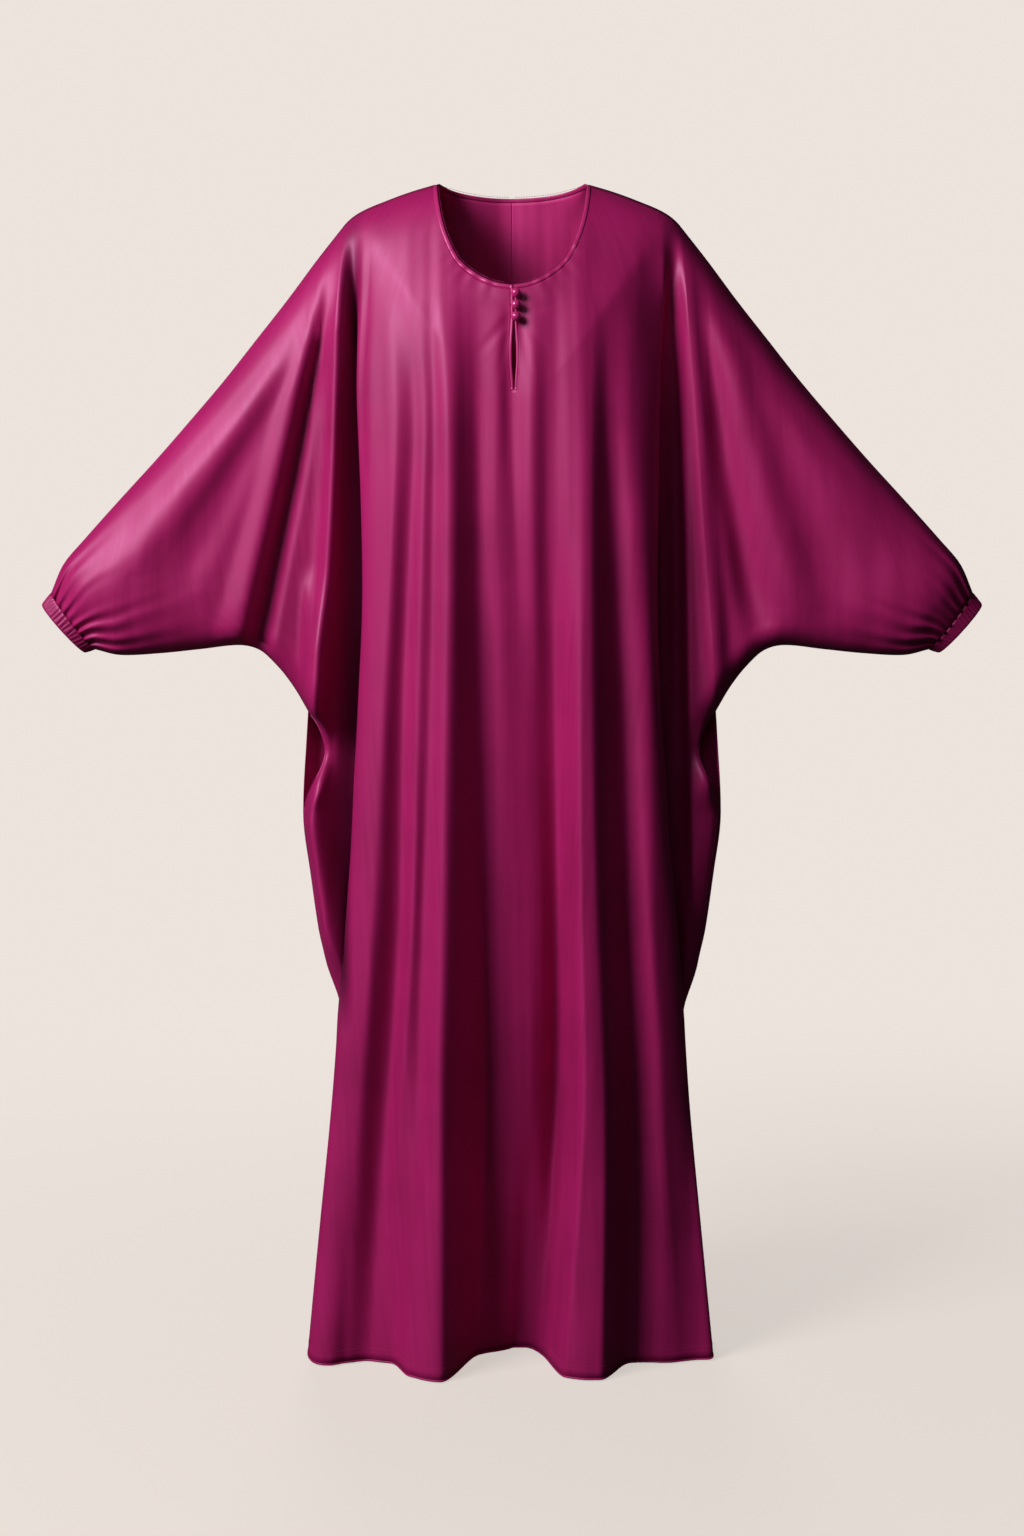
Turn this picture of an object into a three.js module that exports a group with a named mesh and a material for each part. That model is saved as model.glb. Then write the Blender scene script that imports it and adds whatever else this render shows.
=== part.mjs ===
// Batwing abaya in satin, worn form with nobody in it.
// Millimetres. +X is the wearer's left, the front faces -Y, +Z is up.
// The origin is midway between the two neck points of the shoulder line, where the wearer carries it.
// Each panel is cut flat in a plan, seen from the front as (x, z), and a depth is worked out at each
// point of that plan: how far the cloth stands out from the plane of the side and shoulder seams.

import * as THREE from 'three';

// Driving sizes
const CLOTH = 1.5;
const SEAM_GAP = 0.3;
const HEM_Z = -1446;
const BINDING_WIDTH = 5;
const BINDING_THICKNESS = 3;
const SLIT_X = 2.3;
const SLIT_TOP_Z = -125;
const SLIT_BOTTOM_Z = -240;
const SLIT_GAP_TOP = 1.6;
const SLIT_GAP_MIDDLE = 5;
const SLIT_BINDING_WIDTH = 3;
const SLIT_BINDING_THICKNESS = 2.4;
const BUTTON_RADIUS = 5.8;
const BUTTON_HEIGHTS = [-130, -143.5, -157];
const SHANK_RADIUS = 1.5;
const SHANK_LENGTH = 2.4;
const BALL_STEPS = 7;
const BALL_SIDES = 14;
const LOOP_RADIUS = 0.7;
const LOOP_ROOT_INSET = 0.5;
// Where the binding turns over the shoulder seam it stands a little further off
const NECK_POINT_CLEARANCE = 0.7;
const CUFF_WIDTH = 15;
const CUFF_THICKNESS = 2;
const CUFF_RIBS = 44;
const CUFF_RIB_HEIGHT = 0.8;
const CUFF_TAPER = 0.9;
const CUFF_TILT = 2.6;
const GATHERS_PER_LAYER = 8;
const GATHER_HEIGHT = 3;
const GATHER_LENGTH = 30;
// Below this a length in millimetres counts as nothing
const TINY = 1e-6;
const SATIN = new THREE.Color(0x8a1a58);
const SATIN_EDGE = new THREE.Color(0x9a2266);

// Outlines in the plan, for the wearer's left half, as rows of x, z
const SHOULDER_AND_SLEEVE_TOP = [
  [89, 0], [120, -9], [148, -19], [181, -33], [199, -47], [233, -89], [269, -136], [307, -183],
  [346, -231], [387, -278], [430, -326], [475, -374], [520, -423], [545, -452], [561, -487],
];
// The shoulder slopes go on over the neck hole, only to give the depth round it
const RIDGE_OVER_NECK = { front: [[0, 40], [50, 25], [89, 0]], back: [[0, 72], [50, 44], [89, 0]] };
const UNDERARM = [
  [509, -556], [479, -563], [430, -561], [381, -556], [332, -551], [308, -557], [288, -575],
  [268, -601], [250, -632],
];
const SIDE = [
  [250, -632], [253, -675], [257, -735], [257, -775], [250, -830], [240, -906], [232, -944],
  [226, -983], [223, -1015], [224, -1060], [229, -1132], [244, -1290], [259, HEM_Z],
];
const SIDE_OF_FRONT_AT_OPENING = [
  [250, -632], [238, -647], [230, -668], [229, -683], [234, -699], [245, -720], [253, -738],
  [257, -757],
];
const NECKLINE_BOTTOM_Z = -120.5;
const FRONT_NECKLINE = [
  [89.3, 0], [84, -34], [76, -62], [61, -91], [40, -108], [20, -117], [0, NECKLINE_BOTTOM_Z],
];
const BACK_NECKLINE = [[89.3, 0], [78, -4], [55, -9.5], [28, -13], [0, -14]];
const SLEEVE_END = [[561, -487], [509, -556]];
const SHOULDER_POINT = { x: 199, z: -47 };
const UNDERARM_POINT = { x: 250, z: -632 };
const OPENING_END_Z = -757;
const OPENING_MIDDLE_Z = -690;
const OPENING_HALF_HEIGHT = 64;

// Depth of the body form below the shoulder line, front and back
const BODY_DEPTH = {
  drop: [0, 15, 40, 80, 130, 190, 260, 400, 700, 1000, 1500],
  front: [0, 24, 46, 70, 92, 106, 113, 114, 116, 122, 134],
  back: [0, 23, 42, 60, 75, 86, 88, 82, 88, 100, 116],
};
// Depth of the sleeve below its top seam: the arm's roundness, then two layers hanging close
const SLEEVE_DEPTH = {
  drop: [0, 10, 25, 50, 90, 150, 250, 400, 700, 1500],
  front: [0, 21, 36, 47, 46, 42, 36, 30, 24, 20],
  back: [0, 20, 34, 44, 42, 36, 30, 25, 20, 18],
};
// Half depth of the puff near the cuff, by distance from the cuff
const PUFF_DEPTH = { away: [0, 14, 40, 80, 140, 260], half: [23, 32, 44, 49, 47, 44] };
const PUFF_START = 60;
const PUFF_END = 220;
// How square the body's cross-section is at the chest and at the hem
const SQUARENESS = { chest: 6, hem: 3.2 };
// Body and sleeve meet in a soft valley. A higher number makes it sharper
const MEETING_SHARPNESS = 5;
const LEAST_DEPTH = 8;
// How far from the side seams and the top seams the cloth gets its full depth and folds
const SEAM_ROUNDING = 30;
const CORNER_ROUNDING = 20;
const FOLD_START = { belowTop: 70, fromSeam: 13 };

// Where the hanging front of the body turns back towards the side, seen from the front
const BODY_TURN = {
  z: [-47, -137, -254, -371, -490, -611, -708, -794, -878, -996, -1044, -1132, -1290, HEM_Z],
  right: [189, 186, 183, 179, 178, 184, 190, 195, 203, 213, 216, 224, 241, 257],
  left: [184, 181, 175, 174, 173, 178, 186, 192, 201, 211, 214, 221, 237, 253],
};
const TURN_ROLL = 10;
const TURN_ROLL_REACH = 24;
const TURN_WIDTH = 16;
const TURN_TUCK = 12;
const TURN_TUCK_REACH = 18;
const TURN_STARTS_Z = -70;
const TURN_FULL_Z = -260;

// Creases down the body, each row one crest or valley, from -X to +X. X is where it runs at each
// of the levels, and stand is how far it stands out there from the plain form.
const CREASE_LEVELS_Z = [-130, -260, -405, -631, -872, -1119, HEM_Z];
const FRONT_CREASES = [
  { x: [-165, -165, -172, -185, -202, -216, -238], stand: [0, 0, 0, 0, 0, 0, 0] },
  { x: [-148, -138, -143, -157, -172, -190, -206], stand: [0, 1, 2, 3, 0, -10, -30] },
  { x: [-128, -116, -120, -130, -136, -154, -176], stand: [0, -6, -11, -17, -28, -43, -50] },
  { x: [-110, -100, -104, -111, -119, -134, -150], stand: [0, -2, -3, -4, -9, -24, -50] },
  { x: [-98, -92, -94, -99, -108, -118, -127], stand: [0, -3, -5, -7, -13, -22, -12] },
  { x: [-80, -74, -73, -77, -82, -88, -88], stand: [1, 6, 6, 6, 5, 3, 2] },
  { x: [-42, -40, -39, -34, -28, -28, -42], stand: [-2, -10, -15, -29, -50, -74, -90] },
  { x: [-18, -17, -17, -6, 4, 8, -8], stand: [-1, -5, -9, -26, -47, -72, -108] },
  { x: [-6, -3, 2, 12, 18, 22, 10], stand: [-1, -9, -10, -27, -48, -73, -120] },
  { x: [28, 24, 24, 28, 34, 34, 24], stand: [0, 1, -3, -30, -52, -78, -112] },
  { x: [45, 44, 44, 50, 54, 54, 36], stand: [0, -3, -8, -37, -66, -96, -94] },
  { x: [84, 84, 84, 82, 84, 88, 66], stand: [1, 5, 6, 6, 4, 0, -14] },
  { x: [94, 91, 91, 92, 100, 110, 108], stand: [0, 4, 5, 5, 2, -2, -3] },
  { x: [115, 113, 119, 132, 140, 150, 148], stand: [-1, -6, -16, -26, -38, -48, -52] },
  { x: [146, 146, 152, 162, 172, 190, 200], stand: [0, 1, 3, -2, -10, -20, -33] },
  { x: [165, 168, 176, 186, 192, 206, 226], stand: [-1, -5, -8, -10, -12, -20, -22] },
  { x: [176, 180, 187, 199, 212, 230, 252], stand: [0, 0, 0, 0, 0, 0, 0] },
];
const BACK_CREASES = [
  { x: [-170, -170, -176, -187, -204, -220, -242], stand: [0, 0, 0, 0, 0, 0, 0] },
  { x: [-142, -140, -144, -152, -164, -178, -196], stand: [1, 2, 2, 0, -6, -14, -22] },
  { x: [-112, -112, -116, -124, -134, -146, -160], stand: [-3, -6, -9, -18, -30, -42, -54] },
  { x: [-84, -82, -82, -86, -92, -98, -106], stand: [2, 4, 5, 4, 2, 0, -2] },
  { x: [-46, -46, -48, -52, -56, -60, -64], stand: [-4, -8, -12, -22, -36, -48, -60] },
  { x: [-14, -12, -12, -14, -16, -18, -20], stand: [1, 2, 2, 1, 0, -2, -4] },
  { x: [18, 20, 24, 28, 30, 28, 24], stand: [-3, -6, -10, -22, -38, -54, -68] },
  { x: [44, 46, 48, 50, 50, 48, 44], stand: [-2, -4, -7, -18, -34, -50, -62] },
  { x: [76, 76, 78, 80, 82, 84, 86], stand: [2, 4, 6, 5, 3, 0, -3] },
  { x: [110, 108, 112, 118, 124, 132, 140], stand: [-3, -7, -11, -20, -32, -44, -54] },
  { x: [146, 144, 150, 160, 172, 186, 200], stand: [1, 1, 1, -2, -8, -16, -26] },
  { x: [176, 176, 178, 188, 204, 222, 246], stand: [0, 0, 0, 0, 0, 0, 0] },
];

// Folds beside the body and on the sleeves. Each runs through x, z at its top, middle and end.
// Near and far are its half widths on the sides of -X and +X, at the top and at the end.
// Height is how far it stands out at the top and at the end. A negative height is a trough.
const FRONT_FOLDS = [
  { x: [-188, -190, -200], z: [-70, -480, -985], near: [17, 30], far: [15, 12], height: [-15, -32] },
  { x: [-202, -214, -234], z: [-70, -360, -640], near: [14, 22], far: [14, 20], height: [10, 34] },
  { x: [-243, -248, -218], z: [-500, -730, -985], near: [12, 12], far: [36, 30], height: [32, 26] },
  { x: [-206, -260, -314], z: [-70, -340, -580], near: [9, 24], far: [9, 22], height: [-11, -18] },
  { x: [-214, -280, -332], z: [-90, -335, -545], near: [14, 36], far: [12, 24], height: [3, 13] },
  { x: [-236, -316, -404], z: [-150, -313, -480], near: [16, 40], far: [14, 34], height: [-2, -5] },
  { x: [-264, -362, -470], z: [-200, -325, -460], near: [18, 44], far: [18, 40], height: [2, 6] },
  { x: [191, 197, 208], z: [-70, -400, -985], near: [15, 12], far: [14, 18], height: [-15, -30] },
  { x: [206, 225, 246], z: [-80, -330, -590], near: [12, 18], far: [14, 24], height: [4, 12] },
  { x: [218, 252, 296], z: [-110, -313, -520], near: [14, 26], far: [14, 28], height: [-5, -13] },
  { x: [240, 292, 342], z: [-130, -330, -500], near: [16, 34], far: [16, 40], height: [3, 10] },
  { x: [280, 334, 390], z: [-190, -330, -480], near: [16, 34], far: [18, 40], height: [-2, -5] },
];
const BACK_FOLDS = [
  { x: [-190, -197, -210], z: [-60, -480, -985], near: [14, 24], far: [12, 16], height: [-8, -18] },
  { x: [-198, -216, -238], z: [-80, -360, -620], near: [16, 26], far: [12, 20], height: [4, 12] },
  { x: [-210, -262, -300], z: [-90, -330, -540], near: [14, 30], far: [12, 26], height: [-4, -14] },
  { x: [-240, -320, -410], z: [-140, -330, -490], near: [18, 44], far: [16, 36], height: [3, 11] },
  { x: [192, 202, 212], z: [-60, -400, -985], near: [12, 16], far: [14, 24], height: [-8, -18] },
  { x: [202, 232, 252], z: [-80, -330, -600], near: [12, 20], far: [14, 24], height: [4, 12] },
  { x: [224, 286, 330], z: [-110, -320, -520], near: [14, 26], far: [14, 34], height: [-4, -13] },
  { x: [250, 332, 410], z: [-150, -330, -490], near: [16, 34], far: [16, 44], height: [3, 10] },
];
const FOLD_FADE = 110;

// Front edge at the side opening hangs forward of the back edge
const OPENING_FORWARD = 40;

// Plan rows, as z at the outer edge of the body
const ROWS_ABOVE_UNDERARM = [-47, -75, -110, -150, -195, -250, -310, -370, -440, -510, -575, -632];
const ROWS_BELOW_UNDERARM = [
  -652, -675, -700, -727, -757, -805, -865, -930, -985, -1015, -1080, -1180, -1310, HEM_Z,
];
const BACK_SKIPPED_ROWS = [-75, -652, -700];
// How far each row follows the shape of the top edge above it
const ROW_FOLLOWS_TOP = {
  z: [-47, -75, -110, -150, -195, -250, -310, -370, -440],
  share: [1, 0.93, 0.84, 0.72, 0.585, 0.42, 0.25, 0.1, 0],
};
const SLIT_ROW = 4;
// Columns between the turn of the body and its edge, as shares of that width
const FLANGE_SHARES = [0.09, 0.22, 0.42, 0.7, 1];
// Lines across a sleeve, as shares of its length from the body to the cuff, with points on each
const SLEEVE_LINES = {
  shares: [0.08, 0.17, 0.26, 0.35, 0.44, 0.53, 0.61, 0.69, 0.76, 0.82, 0.875, 0.92, 0.955, 0.98, 1],
  frontCounts: [12, 13, 13, 14, 14, 15, 15, 16, 17, 18, 20, 22, 25, 25, 25],
  backCounts: [11, 11, 12, 12, 12, 13, 13, 14, 15, 16, 18, 20, 21, 21, 21],
};
const FRONT_COLUMNS = { neck: 11, shoulder: 7 };
const BACK_COLUMNS = { neck: 8, shoulder: 5 };
// Rows over which the columns settle from their places at the neck to even ones
const SETTLING_ROWS = 7;
const LEFT = 1;
const RIGHT = -1;

// Interpolation through the rows of a table

function slopes(keys, values) {
  return keys.map((key, i) => {
    const before = Math.max(i - 1, 0);
    const after = Math.min(i + 1, keys.length - 1);
    return (values[after] - values[before]) / (keys[after] - keys[before]);
  });
}

function smoothThrough(keys, values) {
  const rising = keys[keys.length - 1] > keys[0];
  const sortedKeys = rising ? keys : [...keys].reverse();
  const sortedValues = rising ? values : [...values].reverse();
  const slope = slopes(sortedKeys, sortedValues);
  return (key) => {
    const last = sortedKeys.length - 1;
    if (key <= sortedKeys[0]) return sortedValues[0];
    if (key >= sortedKeys[last]) return sortedValues[last];
    let i = 0;
    while (key > sortedKeys[i + 1]) i += 1;
    const span = sortedKeys[i + 1] - sortedKeys[i];
    const t = (key - sortedKeys[i]) / span;
    const a = (1 + 2 * t) * (1 - t) ** 2;
    const b = t * (1 - t) ** 2;
    const c = t ** 2 * (3 - 2 * t);
    const d = t ** 2 * (t - 1);
    return a * sortedValues[i] + b * span * slope[i] + c * sortedValues[i + 1] + d * span * slope[i + 1];
  };
}

// A curve through plan points, by its share of the chord length
function curveThrough(points) {
  const along = [0];
  for (let i = 1; i < points.length; i += 1) {
    const step = Math.hypot(points[i][0] - points[i - 1][0], points[i][1] - points[i - 1][1]);
    along.push(along[i - 1] + step);
  }
  const total = along[along.length - 1];
  const x = smoothThrough(along, points.map((p) => p[0]));
  const z = smoothThrough(along, points.map((p) => p[1]));
  return (share) => [x(share * total), z(share * total)];
}

function mix(a, b, t) {
  return a + (b - a) * t;
}

function step(low, high, value) {
  const t = Math.min(Math.max((value - low) / (high - low), 0), 1);
  return t * t * (3 - 2 * t);
}

function lobe(distance, halfWidth) {
  if (Math.abs(distance) >= halfWidth) return 0;
  return Math.cos((Math.PI / 2) * (distance / halfWidth)) ** 2;
}

// Distances in the plan

function sampled(curve, count) {
  return Array.from({ length: count + 1 }, (_, i) => curve(i / count));
}

function distanceTo(line, x, z) {
  let best = Infinity;
  for (let i = 1; i < line.length; i += 1) {
    const [ax, az] = line[i - 1];
    const dx = line[i][0] - ax;
    const dz = line[i][1] - az;
    const lengthSquared = dx * dx + dz * dz;
    if (lengthSquared === 0) continue;
    const t = Math.min(Math.max(((x - ax) * dx + (z - az) * dz) / lengthSquared, 0), 1);
    best = Math.min(best, Math.hypot(x - ax - t * dx, z - az - t * dz));
  }
  return best;
}

const followsTop = smoothThrough(ROW_FOLLOWS_TOP.z, ROW_FOLLOWS_TOP.share);
const topCurve = curveThrough(SHOULDER_AND_SLEEVE_TOP);
const sleeveTopCurve = curveThrough(SHOULDER_AND_SLEEVE_TOP.slice(4));
const underarmCurve = curveThrough(UNDERARM);
const shoulderLine = smoothThrough(
  SHOULDER_AND_SLEEVE_TOP.slice(0, 12).map((p) => p[0]),
  SHOULDER_AND_SLEEVE_TOP.slice(0, 12).map((p) => p[1]),
);
const sideX = smoothThrough(SIDE.map((p) => p[1]), SIDE.map((p) => p[0]));
const openingX = smoothThrough(
  SIDE_OF_FRONT_AT_OPENING.map((p) => p[1]),
  SIDE_OF_FRONT_AT_OPENING.map((p) => p[0]),
);
const underarmLine = sampled(underarmCurve, 40);
const backSideLine = sampled(curveThrough(SIDE), 60);
const frontSideLine = [
  ...sampled(curveThrough(SIDE_OF_FRONT_AT_OPENING), 24),
  ...sampled(curveThrough(SIDE), 60).filter((p) => p[1] < OPENING_END_Z - 5),
];

// Depth of the panels

const turnX = {
  right: smoothThrough(BODY_TURN.z, BODY_TURN.right),
  left: smoothThrough(BODY_TURN.z, BODY_TURN.left),
};
const puffDepth = smoothThrough(PUFF_DEPTH.away, PUFF_DEPTH.half);

// The plan x where the front starts to turn back, on the side that x is on
function turnStart(x, z) {
  return (x < 0 ? turnX.right(z) : turnX.left(z)) - TURN_ROLL;
}

// The height of one fold at a point of the plan
function foldHeight(fold, x, z) {
  const [top, middle, end] = fold.z;
  if (z > top + FOLD_FADE / 2 || z < end - FOLD_FADE / 2) return 0;
  const line = fold.line;
  const share = Math.min(Math.max((top - z) / (top - end), 0), 1);
  const aside = (x - line(z)) * Math.cos(Math.atan((line(z - 2) - line(z + 2)) / 4));
  const sides = aside < 0 ? fold.near : fold.far;
  const halfWidth = mix(sides[0], sides[1], share);
  const height = mix(fold.height[0], fold.height[1], share);
  const fadeIn = step(top + FOLD_FADE / 2, top - FOLD_FADE / 2, z);
  const fadeOut = end === HEM_Z ? 1 : 1 - step(end + FOLD_FADE / 2, end - FOLD_FADE / 2, z);
  return height * lobe(aside, halfWidth) * fadeIn * fadeOut;
}

for (const fold of [...FRONT_FOLDS, ...BACK_FOLDS]) {
  fold.line = smoothThrough(fold.z, fold.x);
}
for (const crease of [...FRONT_CREASES, ...BACK_CREASES]) {
  crease.line = smoothThrough(CREASE_LEVELS_Z, crease.x);
  crease.standing = smoothThrough(CREASE_LEVELS_Z, crease.stand);
}

// The height of the creased body at a point of the plan: a smooth line through the creases at one
// height, level at every crest and valley
function creaseHeight(creases, x, z) {
  const line = creases.map((crease) => crease.line(z));
  const last = line.length - 1;
  if (x <= line[0]) return creases[0].standing(z);
  if (x >= line[last]) return creases[last].standing(z);
  const standing = creases.map((crease) => crease.standing(z));
  const rise = (i) => (standing[i + 1] - standing[i]) / (line[i + 1] - line[i]);
  const slope = (i) => {
    if (i === 0 || i === last || rise(i - 1) * rise(i) <= 0) return 0;
    return (2 * rise(i - 1) * rise(i)) / (rise(i - 1) + rise(i));
  };
  let i = 0;
  while (x > line[i + 1]) i += 1;
  const span = line[i + 1] - line[i];
  const t = (x - line[i]) / span;
  const bend = t * (1 - t) * ((1 - t) * slope(i) - t * slope(i + 1)) * span;
  return standing[i] + rise(i) * span * t * t * (3 - 2 * t) + bend;
}

// The puffs where the sleeve is gathered into the cuff
function gatherHeight(fromTop, fromUnderarm, fromCuff) {
  const across = fromTop / (fromTop + fromUnderarm + TINY);
  const wave = -Math.cos(2 * Math.PI * GATHERS_PER_LAYER * across);
  // Two slow waves of other lengths make each puff a little different from the next
  const uneven = 1 + 0.35 * Math.sin(9.1 * across + 1) + 0.2 * Math.sin(23 * across);
  const nearSeam = Math.min(1, Math.min(fromTop, fromUnderarm) / LEAST_DEPTH);
  return GATHER_HEIGHT * uneven * wave * Math.exp(-fromCuff / (GATHER_LENGTH * uneven)) * nearSeam;
}

// One layer of the garment: how far it stands out at a point of the plan
function layer({ side, sideLine, creases, folds, forward }) {
  const bodyDepth = smoothThrough(BODY_DEPTH.drop, BODY_DEPTH[side]);
  const sleeveDepth = smoothThrough(SLEEVE_DEPTH.drop, SLEEVE_DEPTH[side]);
  const topLine = [...sampled(curveThrough(RIDGE_OVER_NECK[side]), 8), ...sampled(topCurve, 60)];
  return (x, z) => {
    const ax = Math.abs(x);
    const fromTop = distanceTo(topLine, ax, z);
    const fromUnderarm = Math.min(distanceTo(underarmLine, ax, z), distanceTo(sideLine, ax, z));
    const fromCuff = distanceTo(SLEEVE_END, ax, z);
    const turnEnd = turnStart(x, z) + TURN_WIDTH;
    const aside = Math.min(ax / turnEnd, 1);
    const squareness = mix(SQUARENESS.chest, SQUARENESS.hem, step(OPENING_MIDDLE_Z, HEM_Z, z));
    const corner = Math.sqrt(1 - (1 - Math.min(fromUnderarm / CORNER_ROUNDING, 1)) ** 2);
    const body = bodyDepth(fromTop) * Math.sqrt(1 - aside ** squareness) * corner;
    const edge = Math.min(fromUnderarm / SEAM_ROUNDING, 1);
    const hanging = sleeveDepth(fromTop) * Math.sqrt(1 - (1 - edge) ** 2);
    const round = (2 * Math.sqrt(fromTop * fromUnderarm)) / (fromTop + fromUnderarm + TINY);
    const sleeve = mix(puffDepth(fromCuff) * round, hanging, step(PUFF_START, PUFF_END, fromCuff));
    const powers = body ** MEETING_SHARPNESS + sleeve ** MEETING_SHARPNESS;
    const form = powers ** (1 / MEETING_SHARPNESS);
    let fold = creaseHeight(creases, x, z);
    for (const one of folds) fold += foldHeight(one, x, z);
    const nearTop = Math.min(1, fromTop / FOLD_START.belowTop);
    const nearSeam = Math.min(1, fromUnderarm / FOLD_START.fromSeam);
    const gathers = gatherHeight(fromTop, fromUnderarm, fromCuff);
    const nearOpening = step(-TURN_WIDTH, TURN_WIDTH, ax - openingX(OPENING_MIDDLE_Z));
    const opening = forward * lobe(z - OPENING_MIDDLE_Z, OPENING_HALF_HEIGHT) * nearOpening;
    return Math.max(form + fold * nearTop * nearSeam + gathers + opening, Math.min(LEAST_DEPTH, form));
  };
}

const frontDepth = layer({
  side: 'front',
  sideLine: frontSideLine,
  creases: FRONT_CREASES,
  folds: FRONT_FOLDS,
  forward: OPENING_FORWARD,
});
const backDepth = layer({
  side: 'back',
  sideLine: backSideLine,
  creases: BACK_CREASES,
  folds: BACK_FOLDS,
  forward: 0,
});

// Where the front rolls over its turn and tucks in behind it, in x
function rolled(x, z) {
  const out = Math.abs(x) - turnStart(x, z);
  const roll = TURN_ROLL * lobe(out, TURN_ROLL_REACH);
  const tuck = TURN_TUCK * lobe(out - TURN_WIDTH, TURN_TUCK_REACH);
  return x + Math.sign(x) * (roll - tuck) * step(TURN_STARTS_Z, TURN_FULL_Z, z);
}

// The outer face of a layer at a plan point. Facing is -1 for the front and 1 for the back
function outerPoint(depth, facing, x, z) {
  const out = depth(x, z) + CLOTH + SEAM_GAP / 2;
  return new THREE.Vector3(rolled(x, z), facing * out, z);
}

function inwardNormal(depth, facing, x, z) {
  const reach = 1.5;
  const across = outerPoint(depth, facing, x + reach, z).sub(outerPoint(depth, facing, x - reach, z));
  const up = outerPoint(depth, facing, x, z + reach).sub(outerPoint(depth, facing, x, z - reach));
  return across.cross(up).multiplyScalar(-facing).normalize().multiplyScalar(-1);
}

// The plane where each sleeve ends and its cuff begins
const sleeveEndTop = new THREE.Vector3(SLEEVE_END[0][0], 0, SLEEVE_END[0][1]);
const sleeveEndLow = new THREE.Vector3(SLEEVE_END[1][0], 0, SLEEVE_END[1][1]);

function cuffFrame(hand) {
  const mirror = new THREE.Vector3(hand, 1, 1);
  const centre = sleeveEndTop.clone().add(sleeveEndLow).multiplyScalar(0.5).multiply(mirror);
  const long = sleeveEndTop.clone().sub(sleeveEndLow).normalize().multiply(mirror);
  const axis = new THREE.Vector3(hand * long.z, 0, -Math.abs(long.x));
  return { centre, long, axis };
}

// Walls: a plan point becomes an outer point and an inner one, a cloth thickness behind it

function wallPoints(depth, facing, plan) {
  const outer = outerPoint(depth, facing, plan.x, plan.z);
  const inward = inwardNormal(depth, facing, plan.x, plan.z);
  const straight = new THREE.Vector3(0, -facing, 0);
  if (plan.centreSeam) inward.setX(0).normalize();
  if (plan.z === HEM_Z) inward.setZ(0).normalize();
  if (plan.sleeveEnd) inward.projectOnPlane(cuffFrame(Math.sign(plan.x)).axis).normalize();
  if (plan.seam) inward.copy(straight);
  // Where the cloth folds back on itself the wall still leans inwards
  if (inward.dot(straight) < 0.1) inward.addScaledVector(straight, 0.2).normalize();
  const inner = outer.clone().addScaledVector(inward, CLOTH);
  const nearest = SEAM_GAP / 2;
  if (facing * inner.y < nearest) inner.y = facing * nearest;
  return { outer, inner };
}

function closedWall(depth, facing, planPoints, triangles) {
  const positions = [];
  const faces = [];
  const pairs = planPoints.map((plan) => wallPoints(depth, facing, plan));
  for (const pair of pairs) positions.push(...pair.outer.toArray());
  for (const pair of pairs) positions.push(...pair.inner.toArray());
  const offset = planPoints.length;
  const open = new Map();
  for (const [a, b, c] of triangles) {
    faces.push(a, b, c, offset + a, offset + c, offset + b);
    for (const [from, to] of [[a, b], [b, c], [c, a]]) {
      if (open.has(`${to},${from}`)) open.delete(`${to},${from}`);
      else open.set(`${from},${to}`, [from, to]);
    }
  }
  for (const [from, to] of open.values()) {
    faces.push(to, from, offset + from, to, offset + from, offset + to);
  }
  const geometry = new THREE.BufferGeometry();
  geometry.setAttribute('position', new THREE.Float32BufferAttribute(positions, 3));
  geometry.setIndex(faces);
  geometry.computeVertexNormals();
  return geometry;
}

// Plan grids: each is a list of plan points and a list of triangles, wound as seen from the front

class PlanGrid {
  constructor() {
    this.points = [];
    this.triangles = [];
  }

  add(point) {
    this.points.push(point);
    return this.points.length - 1;
  }

  // Fills the strip between two lines of points, which may have different counts
  join(first, second, flipped) {
    let i = 0;
    let j = 0;
    while (i < first.length - 1 || j < second.length - 1) {
      const nextFirst = (i + 1) / (first.length - 1);
      const nextSecond = (j + 1) / (second.length - 1);
      const stepFirst = j === second.length - 1 || (i < first.length - 1 && nextFirst <= nextSecond);
      const next = stepFirst ? first[i + 1] : second[j + 1];
      const triangle = [first[i], next, second[j]];
      this.triangles.push(flipped ? [first[i], second[j], next] : triangle);
      if (stepFirst) i += 1;
      else j += 1;
    }
  }
}

// The panel's edge beside the neck binding. At the neck point it lies straight out from the neck
function neckEdge(neckline) {
  const curve = curveThrough(neckline);
  const clear = BINDING_WIDTH + SEAM_GAP;
  return (share) => {
    const before = curve(Math.max(share - 0.01, 0));
    const after = curve(Math.min(share + 0.01, 1));
    const turned = step(0, 0.4, share);
    const acrossX = mix(-1, after[1] - before[1], turned);
    const acrossZ = mix(0, before[0] - after[0], turned);
    const length = Math.hypot(acrossX, acrossZ);
    const [x, z] = curve(share);
    const inX = acrossX / length;
    const inZ = acrossZ / length;
    return { x: x - inX * clear, z: z - inZ * clear, inX, inZ };
  };
}

// The tops of the body's columns on one half, from the centre to the shoulder point
function bodyColumns(neckline, counts) {
  const edge = neckEdge(neckline);
  const total = counts.neck + counts.shoulder;
  const columns = [];
  for (let i = 0; i <= counts.neck; i += 1) {
    columns.push({ ...edge(1 - i / counts.neck), even: i / total, neck: true });
  }
  const neckPoint = columns[counts.neck];
  neckPoint.z = shoulderLine(neckPoint.x);
  for (let i = 1; i <= counts.shoulder; i += 1) {
    const share = i / counts.shoulder;
    columns.push({ share, from: neckPoint.x, even: (counts.neck + i) / total, neck: false });
  }
  return columns;
}

function bodyEdgeX(z, lowerEdge) {
  if (z < UNDERARM_POINT.z) return lowerEdge(z);
  const share = (SHOULDER_POINT.z - z) / (SHOULDER_POINT.z - UNDERARM_POINT.z);
  return mix(SHOULDER_POINT.x, UNDERARM_POINT.x, share);
}

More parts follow.
